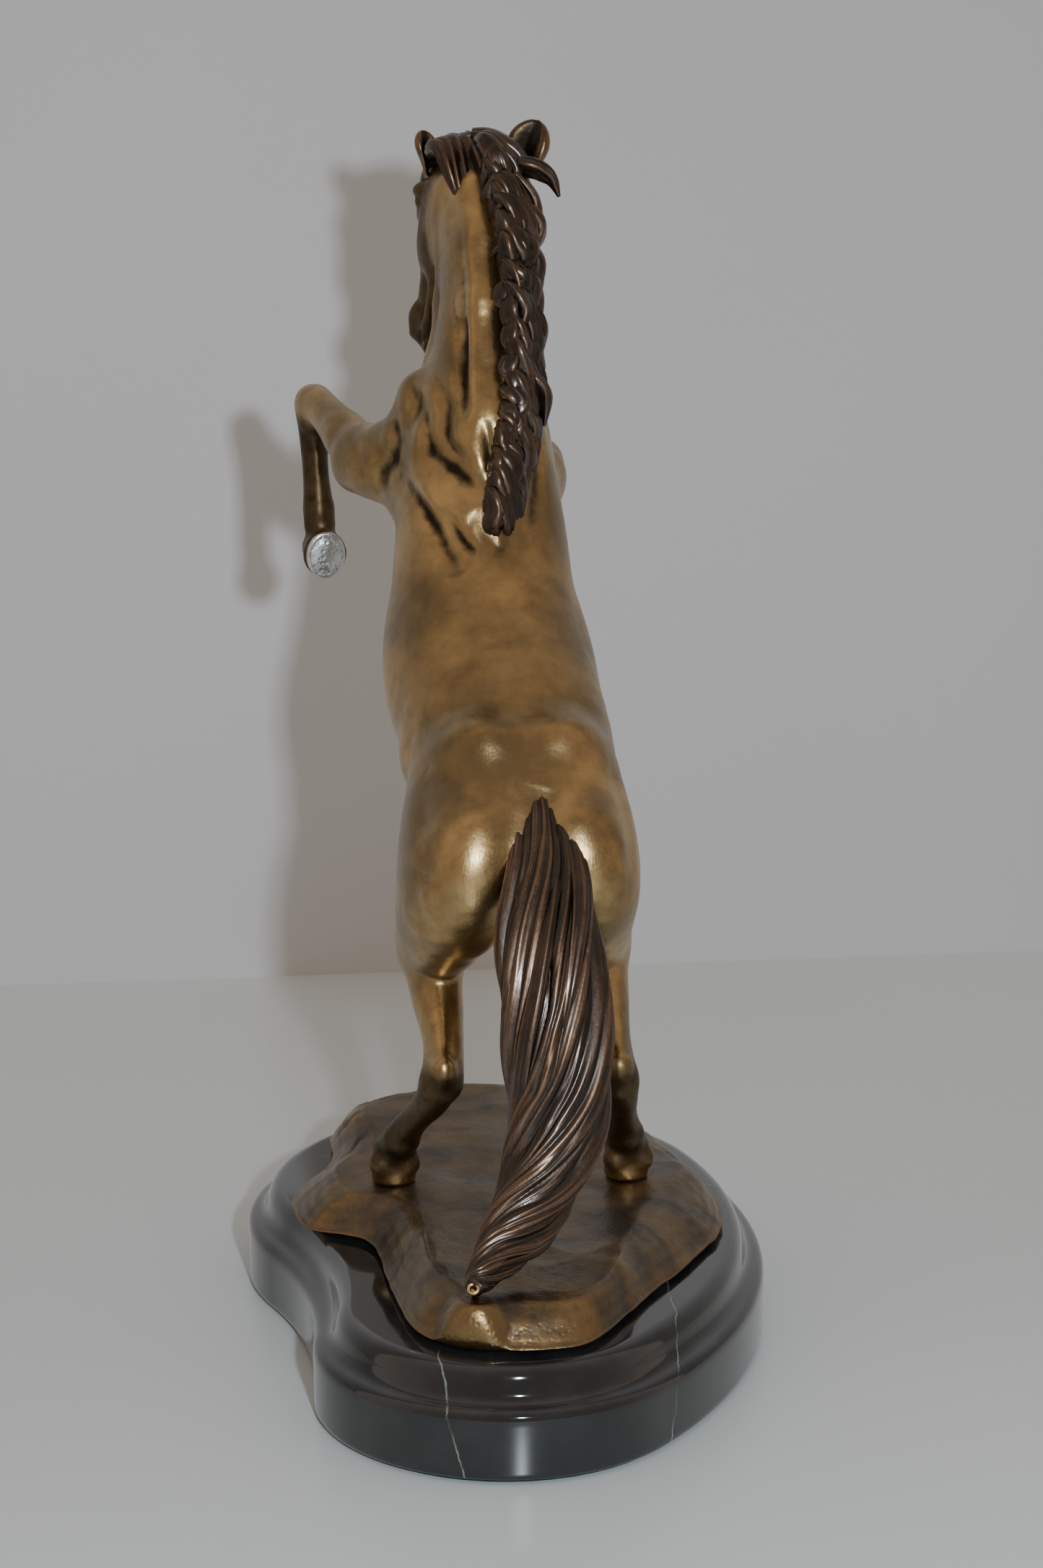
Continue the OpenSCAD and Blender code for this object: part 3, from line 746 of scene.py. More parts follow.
    def hind_leg(self, stations: Array, hoof: tuple[float, ...]) -> None:
        """One hind leg from the gaskin to the hoof, with its hock, tendons and fetlock.

        Args:
            stations: rows of the leg's line, from the gaskin down.
            hoof: where the hoof stands.
        """
        c = self.clay
        c.limb(stations, 40, 4)
        rows = stations[:, :3]
        hock, fetlock = rows[3], rows[6]
        c.egg(rows[1] + (0, -6, 3), (6.5, 7, 15), turn(30), 5)
        c.rod(rows[1] + (0, 6.5, 3), hock + (0, 6.5, 6), 3.2, 2.2, 3)
        c.egg(hock + (0, 6, 5), (3.8, 4.2, 5.5), turn(20), 3)
        for e in (-1, 1):
            c.egg(hock + (4.2 * e, 0, -2), (2.6, 4.5, 4.5), None, 3)
            c.rod(hock + (3.6 * e, 6, 10), hock + (2.6 * e, 4, 22), 1.1, 0.7, 2.5, carve=True)
        c.rod(hock + (0, 5, -6), fetlock + (0, 4.5, 2), 2.4, 2.6, 2)
        for e in (-1, 1):
            c.egg(fetlock + (3.2 * e, 1.5, -1), (2.8, 3.6, 3.6), None, 2.5)
        c.egg(fetlock + (0, 5, -2), (3, 3, 3.6), None, 2)
        self.hoof(np.asarray(hoof, float), np.eye(3), 8.1, 11.0)
        for e in (-1, 1):
            c.egg(np.asarray(hoof, float) + (4.7 * e, 4.6, 7.6), (4.6, 4.6, 5.0), turn(-16), 1.4)

    def hoof(self, at: Array, facing: Array, radius: float, height: float) -> None:
        """A hoof: a short cone, wider at the sole, with a rim at its top and its sole cut flat.

        Args:
            at: the middle of the sole.
            facing: its turned axes; the third points up the leg.
            radius: at the sole.
            height: up to the coronet.
        """
        c, up = self.clay, facing[:, 2]
        for t in np.linspace(0.05, 1, 7):
            r = radius * (1 - 0.24 * t)
            c.egg(at + up * height * t + facing[:, 1] * (0.8 * (t - 0.3)), (r, r * 1.08, 2.4), facing, 2.0)
        c.egg(at + up * (height + 0.4), (radius * 0.8, radius * 0.86, 1.8), facing, 1.5)
        c.egg(at + up * (height + 2.6), (radius * 0.84, radius * 0.9, 1.5), facing, 1.5)
        stands = up[2] > 0.9
        if stands:
            c.egg(at - up * 20, (60, 60, 20.0), facing, 0.3, carve=True)
        else:
            c.egg(at - up * 6.0, (radius * 1.7, radius * 1.7, 6.0), facing, 0.4, carve=True)

    def legs(self) -> None:
        """Builds all four legs."""
        self.hind_leg(np.array([
            self.left_gaskin, (26, -17, 68, 8, 10.5, 222, 0, 0), (25.5, -4, 56, 6, 8, 220, 0, 0),
            (27, 4, 46, 5.8, 8, 192, -8, 0), (30, 1, 37, 4.6, 6, 162, -20, 0),
            (35, -8, 28, 3.8, 4.4, 156, -24, 0), (39.5, -16, 18.5, 4.8, 5.6, 158, -14, 0),
            (41.2, -21, 13, 4.6, 5.2, 168, -6, 0), (41.6, -22.9, 10, 6, 6.4, 180, 0, 0)]), self.left_hoof)
        self.hind_leg(np.array([
            self.right_gaskin, (-33, -14, 68, 8, 10.5, 222, 0, 0), (-33, 0, 56, 6, 8, 220, 0, 0),
            (-34, 8, 46, 5.8, 8, 192, 2, 0), (-36, 5, 37, 4.6, 6, 160, 10, 0),
            (-38, -3, 28, 3.8, 4.4, 154, 10, 0), (-40.6, -11, 18.5, 4.8, 5.6, 158, 6, 0),
            (-42, -15, 13, 4.6, 5.2, 168, 0, 0), (-42, -16.5, 10, 6, 6.4, 180, 0, 0)]), self.right_hoof)
        self.fore_leg(
            np.array([(40, -152, 249, 9.6, 10.6, 64, 0, 18), (45, -167, 255.5, 7.6, 8.6, 62, 0, 18),
                      (51, -185, 262.5, 5.8, 6.6, 66, 0, 18), (54.5, -197, 265, 6.4, 6.8, 122, 0, 14),
                      (54.5, -200, 252, 4.6, 5, 176, 0, 10), (54, -200, 238, 3.9, 4.3, 180, 0, 10),
                      (53, -200, 223, 4.9, 5.4, 188, 0, 10), (52.6, -199, 214, 4.4, 4.8, 200, 0, 10)]),
                      self.left_sole, LEFT_SOLE_YAW)
        self.fore_leg(
            np.array([(-31, -156, 239, 8.4, 10, 74, 0, -4), (-33, -172, 243, 7.6, 8.6, 74, 0, -2),
                      (-34, -192, 246, 5.8, 6.6, 76, 0, -2), (-34, -205, 245, 6.4, 6.8, 128, 0, -2),
                      (-33, -208, 234, 4.6, 5, 180, 0, -4), (-32, -207, 221, 3.9, 4.3, 184, 0, -6),
                      (-31, -205, 207, 4.9, 5.4, 190, 0, -6), (-30.6, -202, 198, 4.4, 4.8, 205, 0, -6)]),
                      self.right_sole, RIGHT_SOLE_YAW)

    def fore_leg(self, stations: Array, sole: tuple[float, ...], yaw: float) -> None:
        """One raised foreleg from the elbow to the hoof, with its knee, tendons and fetlock.

        Args:
            stations: rows of the leg's line, from the elbow down.
            sole: the middle of the hoof's sole.
            yaw: how the hoof is turned.
        """
        c = self.clay
        c.limb(stations, 36, 4)
        knee, mid, fetlock = stations[3, :3], stations[5, :3], stations[6, :3]
        c.egg(knee + (0, -2, 1), (6.6, 4.6, 6), turn(20), 3)
        c.egg(knee + (0, 2.5, -7), (4.8, 3.6, 4), None, 3)
        c.rod(mid + (0, 4.4, 12), fetlock + (0, 4.6, 3), 2.0, 2.3, 1.6)
        c.egg(fetlock + (0, 5.2, -1), (2.8, 2.8, 3.6), None, 2)
        for e in (-1, 1):
            c.egg(fetlock + (3 * e, 1.6, 0), (2.8, 3.6, 4), None, 2)
            c.egg(stations[1, :3] + (4.2 * e, 3, 0.5), (3.4, 9, 5), turn(-20), 4)
        facing = turn(FORE_SOLE_TILT + 180, 0, yaw)
        self.hoof(np.asarray(sole, float), facing, 8.8, 9.5)

    def relief(self, p: Array, n: Array) -> Array:
        """Soft furrows and swellings of the back, quarters and shoulders. Each line, given as x and z
        from behind, moves the skin by its depth times exp(-(distance / width)^2), on faces that look back,
        and fades towards its ends as 0.12 + 0.88 sin(pi s)^0.8, where s runs from 0 to 1 along it.

        Args:
            p: points.
            n: their normals.

        Returns:
            How far each point moves along its normal.
        """
        lines = [
            ([(8, 346), (7.5, 322), (8.5, 300), (9, 284), (9, 262)], 2.8, -2.2),
            ([(9, 304), (9.5, 290), (10, 268)], 2.2, -2.6),
            ([(25, 262), (17, 253), (8, 246), (1, 242)], 4.0, -3.6),
            ([(19, 288), (15, 273), (15, 260), (6, 252)], 2.8, -2.6),
            ([(36, 256), (28, 243), (19, 227), (13, 214)], 3.4, -3.0),
            ([(-17, 275), (-19, 250), (-15, 228)], 3.4, -2.2),
            ([(17, 236), (11, 226), (6, 222)], 2.4, -2.2), ([(2, 268), (0, 256), (0, 246)], 2.2, -1.8),
            ([(33, 272), (31, 258), (36, 244), (33, 234)], 2.2, -2.6),
            ([(13, 330), (12, 305), (14, 286)], 3.0, -2.0), ([(26, 282), (22, 268), (22, 252)], 2.6, -2.4),
            ([(-2, 214), (-2, 190), (-2, 170)], 7.5, -0.8), ([(-6, 152), (-4, 140), (-4, 128)], 6.0, -1.8),
            ([(30, 164), (34, 148), (35, 134), (33, 118)], 3.2, -1.5),
            ([(35, 124), (37, 114), (33, 102)], 2.6, -1.2),
            ([(-33, 154), (-37, 134), (-35, 114)], 3.2, -1.2),
            ([(14, 170), (25, 157), (32, 142)], 6.0, -0.6), ([(9, 272), (9, 260), (3, 249)], 4.0, 1.4),
            ([(29, 250), (20, 239), (8, 232)], 4.2, 1.8), ([(22, 280), (24, 262)], 3.4, 1.0),
            ([(-12, 262), (-13, 238)], 4.6, 1.0), ([(-9, 236), (-2, 223), (6, 236)], 3.0, -1.2),
            ([(34, 120), (37, 106)], 3.0, 1.0), ([(34, 138), (38, 124)], 3.0, 0.9),
            ([(40, 262), (37, 248), (36, 234)], 2.6, -1.2), ([(45, 264), (42, 246)], 2.4, -0.9),
        ]
        flat = p[:, [0, 2]]
        faces_back = np.clip(n[:, 1] * 1.8 + 0.25, 0, 1)
        total = np.zeros(len(p))
        for line, width, depth in lines:
            path = smooth_rows(np.array(line, float), 4 * len(line))
            low, high = path.min(0) - 3 * width, path.max(0) + 3 * width
            inside = ((flat > low) & (flat < high)).all(1)
            pick = np.nonzero(inside & (faces_back > 0))[0]
            q = flat[pick]
            best, where = np.full(len(q), 1e9), np.zeros(len(q))
            for k, (a, b) in enumerate(zip(path, path[1:])):
                t = np.clip(((q - a) @ (b - a)) / ((b - a) @ (b - a) + 1e-9), 0, 1)
                away = ((q - a - t[:, None] * (b - a)) ** 2).sum(1)
                where = np.where(away < best, (k + t) / (len(path) - 1), where)
                best = np.minimum(best, away)
            fade = 0.12 + 0.88 * np.sin(math.pi * where) ** 0.8
            total[pick] += depth * np.exp(-best / width**2) * faces_back[pick] * fade
        return total

    def hollow(self, skin: Skin, moved: Array) -> Array:
        """How dark the patina lies: 0.6 of the fine hollowness and 0.7 of the broad one, each held between
        -1 and 1, and 0.13 of the depth of the relief lines, all weaker on skin that faces forwards.

        Args:
            skin: the finished skin.
            moved: how far the relief moved each point.

        Returns:
            One value per point; ridges are negative.
        """
        fine = np.clip(skin.hollowness(10) / 0.5, -1, 1)
        broad = np.clip(skin.hollowness(60) / 2.4, -1, 1)
        hollow = fine * 0.6 + broad * 0.7 - 0.13 * np.clip(moved, -2.6, 1.0)
        return hollow * (1 - 0.55 * np.clip(-1.4 * skin.normals()[:, 1], 0, 1))

    def stain_and_shade(self, p: Array) -> Array:
        """The brown stain of lower legs and face, and painted shade under the tail. The worn spots of the
        quarters and gaskins take some away as worn bare metal and painted highlight, and the dim spots of
        neck, back and flanks add painted shade.

        Args:
            p: points.

        Returns:
            One value per point, 1 where stain and painted shade are full.
        """
        wander = fractal(p, 14, 5, 3) * 5
        low_legs = np.clip((57 - p[:, 2] + 0.6 * wander) / 9, 0, 1)
        low_legs = low_legs * (1 - 0.5 * np.clip((9 - p[:, 2]) / 6, 0, 1))
        fore = np.clip((-186 - p[:, 1] + 0.5 * (262 - p[:, 2]) + wander) / 12, 0, 1)
        fore = fore * (p[:, 2] < 275) * (p[:, 1] < -176)
        a = math.radians(HEAD_TURN)
        ahead = (p[:, 0] - POLL_JOINT[0]) * math.sin(a) - (p[:, 1] - POLL_JOINT[1]) * math.cos(a)
        face = np.clip((ahead - 2 + wander) / 9, 0, 1) * (p[:, 2] > 280) * (np.abs(p[:, 0] - 8) < 32)
        # the darkening under the tail, between the thighs, is painted shade
        painted_shade_under_tail = np.clip((60 - np.abs(p[:, 0] + 3) * 6 + (100 - p[:, 2])) / 60, 0, 0.8)
        painted_shade_under_tail = painted_shade_under_tail * (p[:, 2] < 128) * (p[:, 1] > -20)
        stain_and_shade = np.maximum.reduce([low_legs, fore, 0.92 * face, painted_shade_under_tail])
        # the worn spots paint bare metal that is partly painted highlight
        worn_and_highlight = sum(spot(p, *place) for place in self.worn_and_highlight_spots)
        # the dim spots add painted shade
        dim = sum(strength * spot(p, *place) for strength, *place in self.painted_shade_spots)
        return np.where(stain_and_shade < 0.3, stain_and_shade - 1.5 * np.clip(worn_and_highlight, 0, 1) + np.clip(dim, 0, 0.5), stain_and_shade)

    def pieces(self) -> list[Piece]:
        """Builds the clay, draws its skin and cuts it into the cast sections.

        Returns:
            The seven sections of the body.
        """
        self.trunk()
        self.shoulders()
        self.neck()
        self.legs()
        self.head()
        points, tris = self.clay.skin()
        skin = Skin(points, tris)
        skin.points = skin.eased(3, 0.5)
        moved = self.relief(skin.points, skin.normals())
        skin.points = skin.points + skin.normals() * moved[:, None]
        # the stain values carry stain, painted shade and painted highlight
        cutter = Cutter(skin.points, skin.normals(),
                        {"hollow": self.hollow(skin, moved), "stain_and_shade": self.stain_and_shade(skin.points)}, tris)
        cuts = (
            ("head_casting", POLL_JOINT, (-28, -FAR, 268), (40, -120, FAR)),
            ("neck_casting", NECK_JOINT, (-29, -152, 262), (29, FAR, FAR)),
            ("left_foreleg_casting", self.left_elbow, (26, -FAR, -FAR), (FAR, -136, 284)),
            ("right_foreleg_casting", self.right_elbow, (-FAR, -FAR, -FAR), (-16, -140, 280)),
            ("left_hind_leg_casting", self.left_gaskin, (0, -FAR, -FAR), (FAR, FAR, 96)),
            ("right_hind_leg_casting", self.right_gaskin, (-FAR, -FAR, -FAR), (-6, FAR, 96)),
        )
        made = []
        for name, joint, low, high in cuts:
            made.append((name, cutter.split(joint[:3], turn(*joint[5:8])[:, 2], low, high)))
        made.append(("trunk_casting", cutter.tris))
        return [cutter.piece(name, t) for name, t in made]


# ---------------------------------------------------------------- hair and ears


def lock(path: Array, widths: Array, seed: int, rings: int = 90, around: int = 36, twist: float = 0.8,
         ridges: int = 5, depth: float = 0.2, across: Array | None = None) -> tuple[Array, Array]:
    """One lock of hair: flat rings strung along a smooth path, ribbed by cosines whose number is
    ridges, the ribs turning slowly about the path.

    Args:
        path: points of its middle line.
        widths: half width and half thickness at each of the path's points.
        seed: makes its ribs its own.
        rings: along it.
        around: points per ring.
        twist: how far its ribs turn, in turns.
        ridges: ribs around it.
        depth: of the ribs, as a share of the half size.
        across: the wide side's direction; by default sideways.

    Returns:
        The grid of points and a grid of hollowness values.
    """
    middle = smooth_rows(path, rings)
    size = smooth_rows(widths, rings)
    along = np.gradient(middle, axis=0)
    along /= np.linalg.norm(along, axis=1)[:, None]
    wide = np.tile(np.array([1.0, 0, 0]) if across is None else np.asarray(across, float), (rings, 1))
    wide -= (wide * along).sum(1)[:, None] * along
    wide /= np.linalg.norm(wide, axis=1)[:, None] + 1e-9
    deep = np.cross(along, wide)
    a = np.linspace(0, 2 * math.pi, around, endpoint=False)[None, :]
    t = np.linspace(0, 1, rings)[:, None]
    rib = np.cos(ridges * a + 2 * math.pi * twist * t + seed) * 0.65 + np.cos(
        (2 * ridges + 3) * a - 2 * math.pi * 0.7 * t + 2.3 * seed) * 0.35
    wave = 1 + depth * rib * np.clip(np.sin(math.pi * np.clip(t, 0.03, 0.97)), 0.25, 1)
    ca, sa = np.cos(a) * wave, np.sin(a) * wave
    grid = (middle[:, None, :] + wide[:, None, :] * (size[:, :1] * ca)[..., None]
            + deep[:, None, :] * (size[:, 1:2] * sa)[..., None])
    return grid, -rib * 0.8


def bundle(name: str, locks: Sequence[tuple[Array, Array]]) -> Piece:
    """Locks joined into one piece.

    Args:
        name: the piece's name.
        locks: grids with their hollowness.

    Returns:
        The piece in the part's frame.
    """
    points, quads, tris, hollow, base = [], [], [], [], 0
    for grid, value in locks:
        p, q, t = closed_tube(grid)
        points.append(p)
        quads.append(q + base)
        tris.append(t + base)
        hollow.append(np.concatenate([value.reshape(-1), [0.0, 0.0]]))
        base += len(p)
    p = np.concatenate(points)
    return Piece(name, into_frame(p), np.concatenate(quads), np.concatenate(tris),
                 {"hollow": np.concatenate(hollow), "stain_and_shade": np.ones(len(p))})


@dataclass
class Hair:
    """Tail, mane and forelock, each a bundle of ribbed locks."""

    tail_line: tuple[tuple[float, ...], ...] = (
        (-5, 9, 148, 5.6, 5), (-5.4, 21, 138, 10.2, 7.5), (-6, 31, 124, 13, 9), (-5, 43, 104, 16.5, 10),
        (-6, 52, 78, 17.5, 11), (-6, 58, 52, 16, 11), (2, 67, 28, 13, 10), (14, 78, 13, 9, 7.5),
        (24, 90, 6, 5.2, 4.4), (27.2, 95.2, 4.4, 3, 3))
    # loose locks of the tail: first and last ring, angle around it and half width
    loose_locks: tuple[tuple[int, int, float, float], ...] = (
        (40, 190, 0.15, 4.6), (20, 150, 3.5, 4.2), (90, 230, 5.6, 4.0), (60, 210, 4.5, 3.6),
        (140, 270, 0.8, 3.2))
    # layers of the mane: how many locks, how far out and back they spring, their length and half width
    mane_layers: tuple[tuple[float, ...], ...] = (
        (13, 1.22, 0.0, 27, 6.0), (14, 0.95, 2.6, 24, 5.6), (15, 0.55, 4.6, 20, 5.0),
        (15, 0.18, 5.2, 16, 4.0))

    def winding(self, t: Array) -> Array:
        """How far the tail has wound, in radians: 0.9 t + 5.5 t^2.4, so mostly in its lower half.

        Args:
            t: shares of the way down, from 0 to 1.

        Returns:
            The angle at each.
        """
        return 0.9 * t + 5.5 * t**2.4

    def stray(self, u: Array, t: Array, around: float, down: float, seed: int) -> Array:
        """Noise over the tail that closes on itself around it.

        Args:
            u, t: the angle around it and the share of the way down, on a grid.
            around, down: how quickly it changes each way.
            seed: which noise.

        Returns:
            Its values on the grid.
        """
        places = np.broadcast_arrays(around * np.cos(u), around * np.sin(u), down * t)
        return value_noise(np.stack(places, -1).reshape(-1, 3), 1.0, seed).reshape(u.shape)

    def tail(self) -> Piece:
        """The full tail. Around it run five bundles, 22 strands and 52 threads, each |sin| of the angle
        less the winding at t, so the valleys are sharp. Five loose locks lie on it.

        Returns:
            The tail.
        """
        rows = smooth_rows(np.array(self.tail_line), 300)
        middle = rows[:, :3]
        along = np.gradient(middle, axis=0)
        along /= np.linalg.norm(along, axis=1)[:, None]
        wide = np.array([1.0, 0, 0]) - along[:, :1] * along
        wide /= np.linalg.norm(wide, axis=1)[:, None]
        deep = np.cross(along, wide)
        t = np.linspace(0, 1, 300)[:, None]
        a = np.linspace(0, 2 * math.pi, 300, endpoint=False)[None, :]
        u = a - self.winding(t) + 0.9
        stray, fine_stray = self.stray(u, t, 4, 9, 5), self.stray(u, t, 9, 7, 8)
        bundles = np.abs(np.sin(2.5 * u + 0.55 * stray + 0.4 * np.sin(5 * t + 1))) ** 0.8
        strands = np.abs(np.sin(11 * u + 1.5 * stray)) ** 0.85
        threads = np.abs(np.sin(26 * u - 2.2 * t + 1.8 * fine_stray)) ** 0.9
        ends = np.clip(t / 0.06, 0.25, 1) * np.clip((1 - t) / 0.12, 0.35, 1)
        wave = 1 + ends * (0.20 * (bundles - 0.62) + 0.10 * (strands - 0.62) + 0.022 * (threads - 0.6)
                           + 0.05 * stray)
        grid = (middle[:, None] + wide[:, None] * (rows[:, 3:4] * np.cos(a) * wave)[..., None]
                + deep[:, None] * (rows[:, 4:5] * np.sin(a) * wave)[..., None])
        hollow = 0.9 * (0.62 - bundles) + 1.15 * (0.66 - strands) + 0.5 * (0.6 - threads) - 0.25 * stray
        locks = [(grid, hollow)]
        for k, (i0, i1, angle, size) in enumerate(self.loose_locks):
            span = np.linspace(i0, i1, 24).astype(int)
            f = np.linspace(0, 1, 24)
            turned = angle + self.winding(t[span, 0]) - self.winding(t[i0, 0])
            lift = 0.72 + 0.26 * np.sin(math.pi * f)
            centre = (middle[span] + wide[span] * (rows[span, 3] * np.cos(turned) * lift)[:, None]
                      + deep[span] * (rows[span, 4] * np.sin(turned) * lift)[:, None])
            w = size * np.clip(np.sin(math.pi * np.clip(f, 0.04, 0.97)), 0.1, 1) ** 0.6
            face = wide[span[12]] * -math.sin(turned[12]) + deep[span[12]] * math.cos(turned[12])
            locks.append(lock(centre, np.stack([w, 0.62 * w], -1), 3 * k + 2, 110, 44, 0.5, 5, 0.16, face))
        return bundle("tail_casting", locks)

    def mane(self) -> Piece:
        """The short mane: a core along the crest, four layers of wavy locks that spring from it and hug the
        right side, and six loose tufts.

        Returns:
            The mane.
        """
        line = np.array([(-5, -120, 364, 7.5, 6.5), (-10, -111, 346, 8.5, 9.5), (-12, -99, 318, 8, 11),
                         (-12, -90, 288, 8, 11), (-8, -81, 262, 8.4, 10), (-4, -73, 242, 5.4, 6.4),
                         (0.5, -68, 220, 1.8, 2.4)])
        rows = smooth_rows(line, 60)
        locks = [lock(rows[:, :3], rows[:, 3:] * 0.86, 5, 140, 56, 0.5, 8, 0.1)]
        chance = np.random.default_rng(11)
        for layer, (count, out, back, length, wide) in enumerate(self.mane_layers):
            flat = (0.35, 0.8, 0.45) if layer else (0.2, 0.9, 0.3)
            for k in range(count):
                s = (k + 0.29 * layer + 0.3 * chance.random()) / count * 0.88
                i = int(min(s, 0.98) * 59)
                low = max(0.0, s - 0.58) / 0.42
                root = rows[i, :3] + (5.0 - 0.6 * layer, -1 + back * 0.6, 5)
                fall = length * (0.8 + 0.45 * chance.random()) * (1 - 0.3 * low)
                dip = 1 - 0.34 * math.exp(-(((s - 0.46) / 0.2) ** 2))
                o = out * (0.9 + 0.22 * chance.random()) * (1 - 0.72 * low) * dip
                bow, hook, lift = chance.normal(0, 1.0, 3)
                path = np.array([root, root + (-6 * o, 2.0 + back, -0.06 * fall + 0.8 * lift),
                                 root + (-12.5 * o + 1.0 * bow, 2.8 + back, -0.34 * fall),
                                 root + (-13.5 * o - 1.3 * bow, 2.0 + back, -0.66 * fall),
                                 root + (-10.5 * o + 2.6 * hook, 1.0 + 0.7 * back, -0.95 * fall),
                                 root + (-8.5 * o + 4.0 * hook, 0.6 + 0.5 * back,
                                         -0.86 * fall - 2 * abs(hook))])
                w = wide * (0.85 + 0.3 * chance.random()) * (1 - 0.25 * low)
                size = np.array([(2.2, 2.0), (w * 0.95, 3.6), (w, 4.0), (w * 0.85, 3.6), (w * 0.5, 2.4),
                                 (0.7, 0.7)])
                locks.append(lock(path, size, 7 * k + layer, 56, 26, 0.6, 4, 0.26, flat))
        for k, (root, tip, bend) in enumerate([
            ((-13, -112, 357), (-30.5, -107, 346), (-24, -108, 355)),
            ((-12, -104, 316), (-20, -96, 297), (-19, -96, 311)),
            ((-7, -78, 250), (0.5, -64, 215), (-6, -67, 232)),
            ((-12, -90, 284), (-22, -86, 264), (-21, -86, 277)),
            ((-3, -78, 252), (-2, -65, 226), (-3.5, -65, 238)),
            ((-10, -86, 270), (-17.5, -80, 248), (-16, -80, 262)),
        ]):
            r, e, b = (np.array(v, float) for v in (root, tip, bend))
            locks.append(lock(np.array([r, (r + b) / 2 + (0, 2, 1), b, 0.55 * b + 0.45 * e + (-1, 0, 1), e]),
                              np.array([(2.6, 2.4), (4.2, 3.2), (4.0, 3.0), (2.6, 2.2), (0.6, 0.6)]),
                              11 * k + 4, 56, 28, 0.4, 4, 0.24,
                              (0.2, 0.8, 0.5)))
        return bundle("mane_casting", locks)

    def forelock(self, horse: Horse) -> Piece:
        """The forelock, and the flat hair that runs back from between the ears.

        Args:
            horse: gives points of the head.

        Returns:
            The forelock.
        """
        at, locks = horse.head_point, []
        for k, (ahead, side, up, w) in enumerate([
            (3, 1, 20, 4.6), (4, -5, 20, 4.4), (3, 6, 17, 4.0), (7, 3, 21, 4.2), (6, -2, 22, 4.4)]):
            lean = side * 0.55
            path = np.array([at(ahead - 6, side * 0.6, up - 6), at(ahead, side, up),
                             at(ahead + 9, side + lean * 0.5, up - 3),
                             at(ahead + 18, side + lean + 1.2 * math.sin(k * 2.0), up - 13),
                             at(ahead + 25, side * 0.6 + 1.4, up - 26)])
            size = np.array([(2, 2), (w, 3), (w * 0.95, 3), (w * 0.6, 2.2), (0.5, 0.5)])
            locks.append(lock(path, size, 5 * k + 2, 56, 28, 0.6, 4, 0.28, at(0, 1, 0) - at(0, 0, 0)))
        for k, (side, far, drop) in enumerate([(-9, -1.0, 26), (-5, 1.5, 30), (-1, 2.0, 36), (3, 2.0, 36),
                                               (7, 1.0, 34), (10.5, 0.0, 28), (13, -1.0, 20)]):
            top = at(1, side, 20.6 - 0.012 * side * side)
            path = np.array([at(9, side * 0.8, 15), top, at(-7, side * 0.95, 18),
                             at(-13 - far, side * 0.85, 17 - 0.45 * drop),
                             at(-14 - far, side * 0.7 - 1, 17 - drop)])
            size = np.array([(1.5, 1.2), (3.8, 3.0), (3.8, 3.0), (2.8, 2.2), (0.5, 0.5)])
            locks.append(lock(path, size, 5 * k + 30, 60, 28, 0.4, 5, 0.22, at(0, 1, 0) - at(0, 0, 0)))
        return bundle("forelock", locks)

    def ear(self, name: str, root: Array, tip: Array, opens: Array, radius: float) -> Piece:
        """A pricked ear: rings that swell and taper to the tip, pressed in on the open side.

        Args:
            name: the piece's name.
            root, tip: its ends.
            opens: the way its hollow faces.
            radius: its greatest half width.

        Returns:
            The ear.
        """
        rings, n = 40, 48
        t = np.linspace(0, 1, rings)[:, None]
        along = (tip - root) / np.linalg.norm(tip - root)
        front = opens - opens @ along * along
        front /= np.linalg.norm(front)
        side = np.cross(along, front)
        a = np.linspace(0, 2 * math.pi, n, endpoint=False)[None, :]
        swell = 0.42 + 0.62 * np.sin(math.pi * np.clip(t * 0.86, 0, 1) ** 1.5)
        r = radius * swell * np.sqrt(np.clip((1 - t**7), 0, 1)) + 0.1
        dent = np.exp(-((np.minimum(a, 2 * math.pi - a) / 0.75) ** 2)) * np.clip(t / 0.12, 0, 1)
        x = r * (np.cos(a) * 0.8 - 1.15 * dent * np.clip(1.05 - t, 0, 1) ** 0.3)
        y = r * np.sin(a)
        middle = root + t[..., None] * (tip - root) + front * (1.6 * np.sin(math.pi * t))[..., None]
        grid = middle + front * x[..., None] + side * y[..., None]
        p, q, tri = closed_tube(grid)
        hollow = np.concatenate([(dent * 1.6 - 0.5 * np.abs(np.sin(a))).reshape(-1), [0, 0]])
        return Piece(name, into_frame(p), q, tri, {"hollow": hollow, "stain_and_shade": np.ones(len(p)) * 0.35})


# ---------------------------------------------------------------- ground and plinth


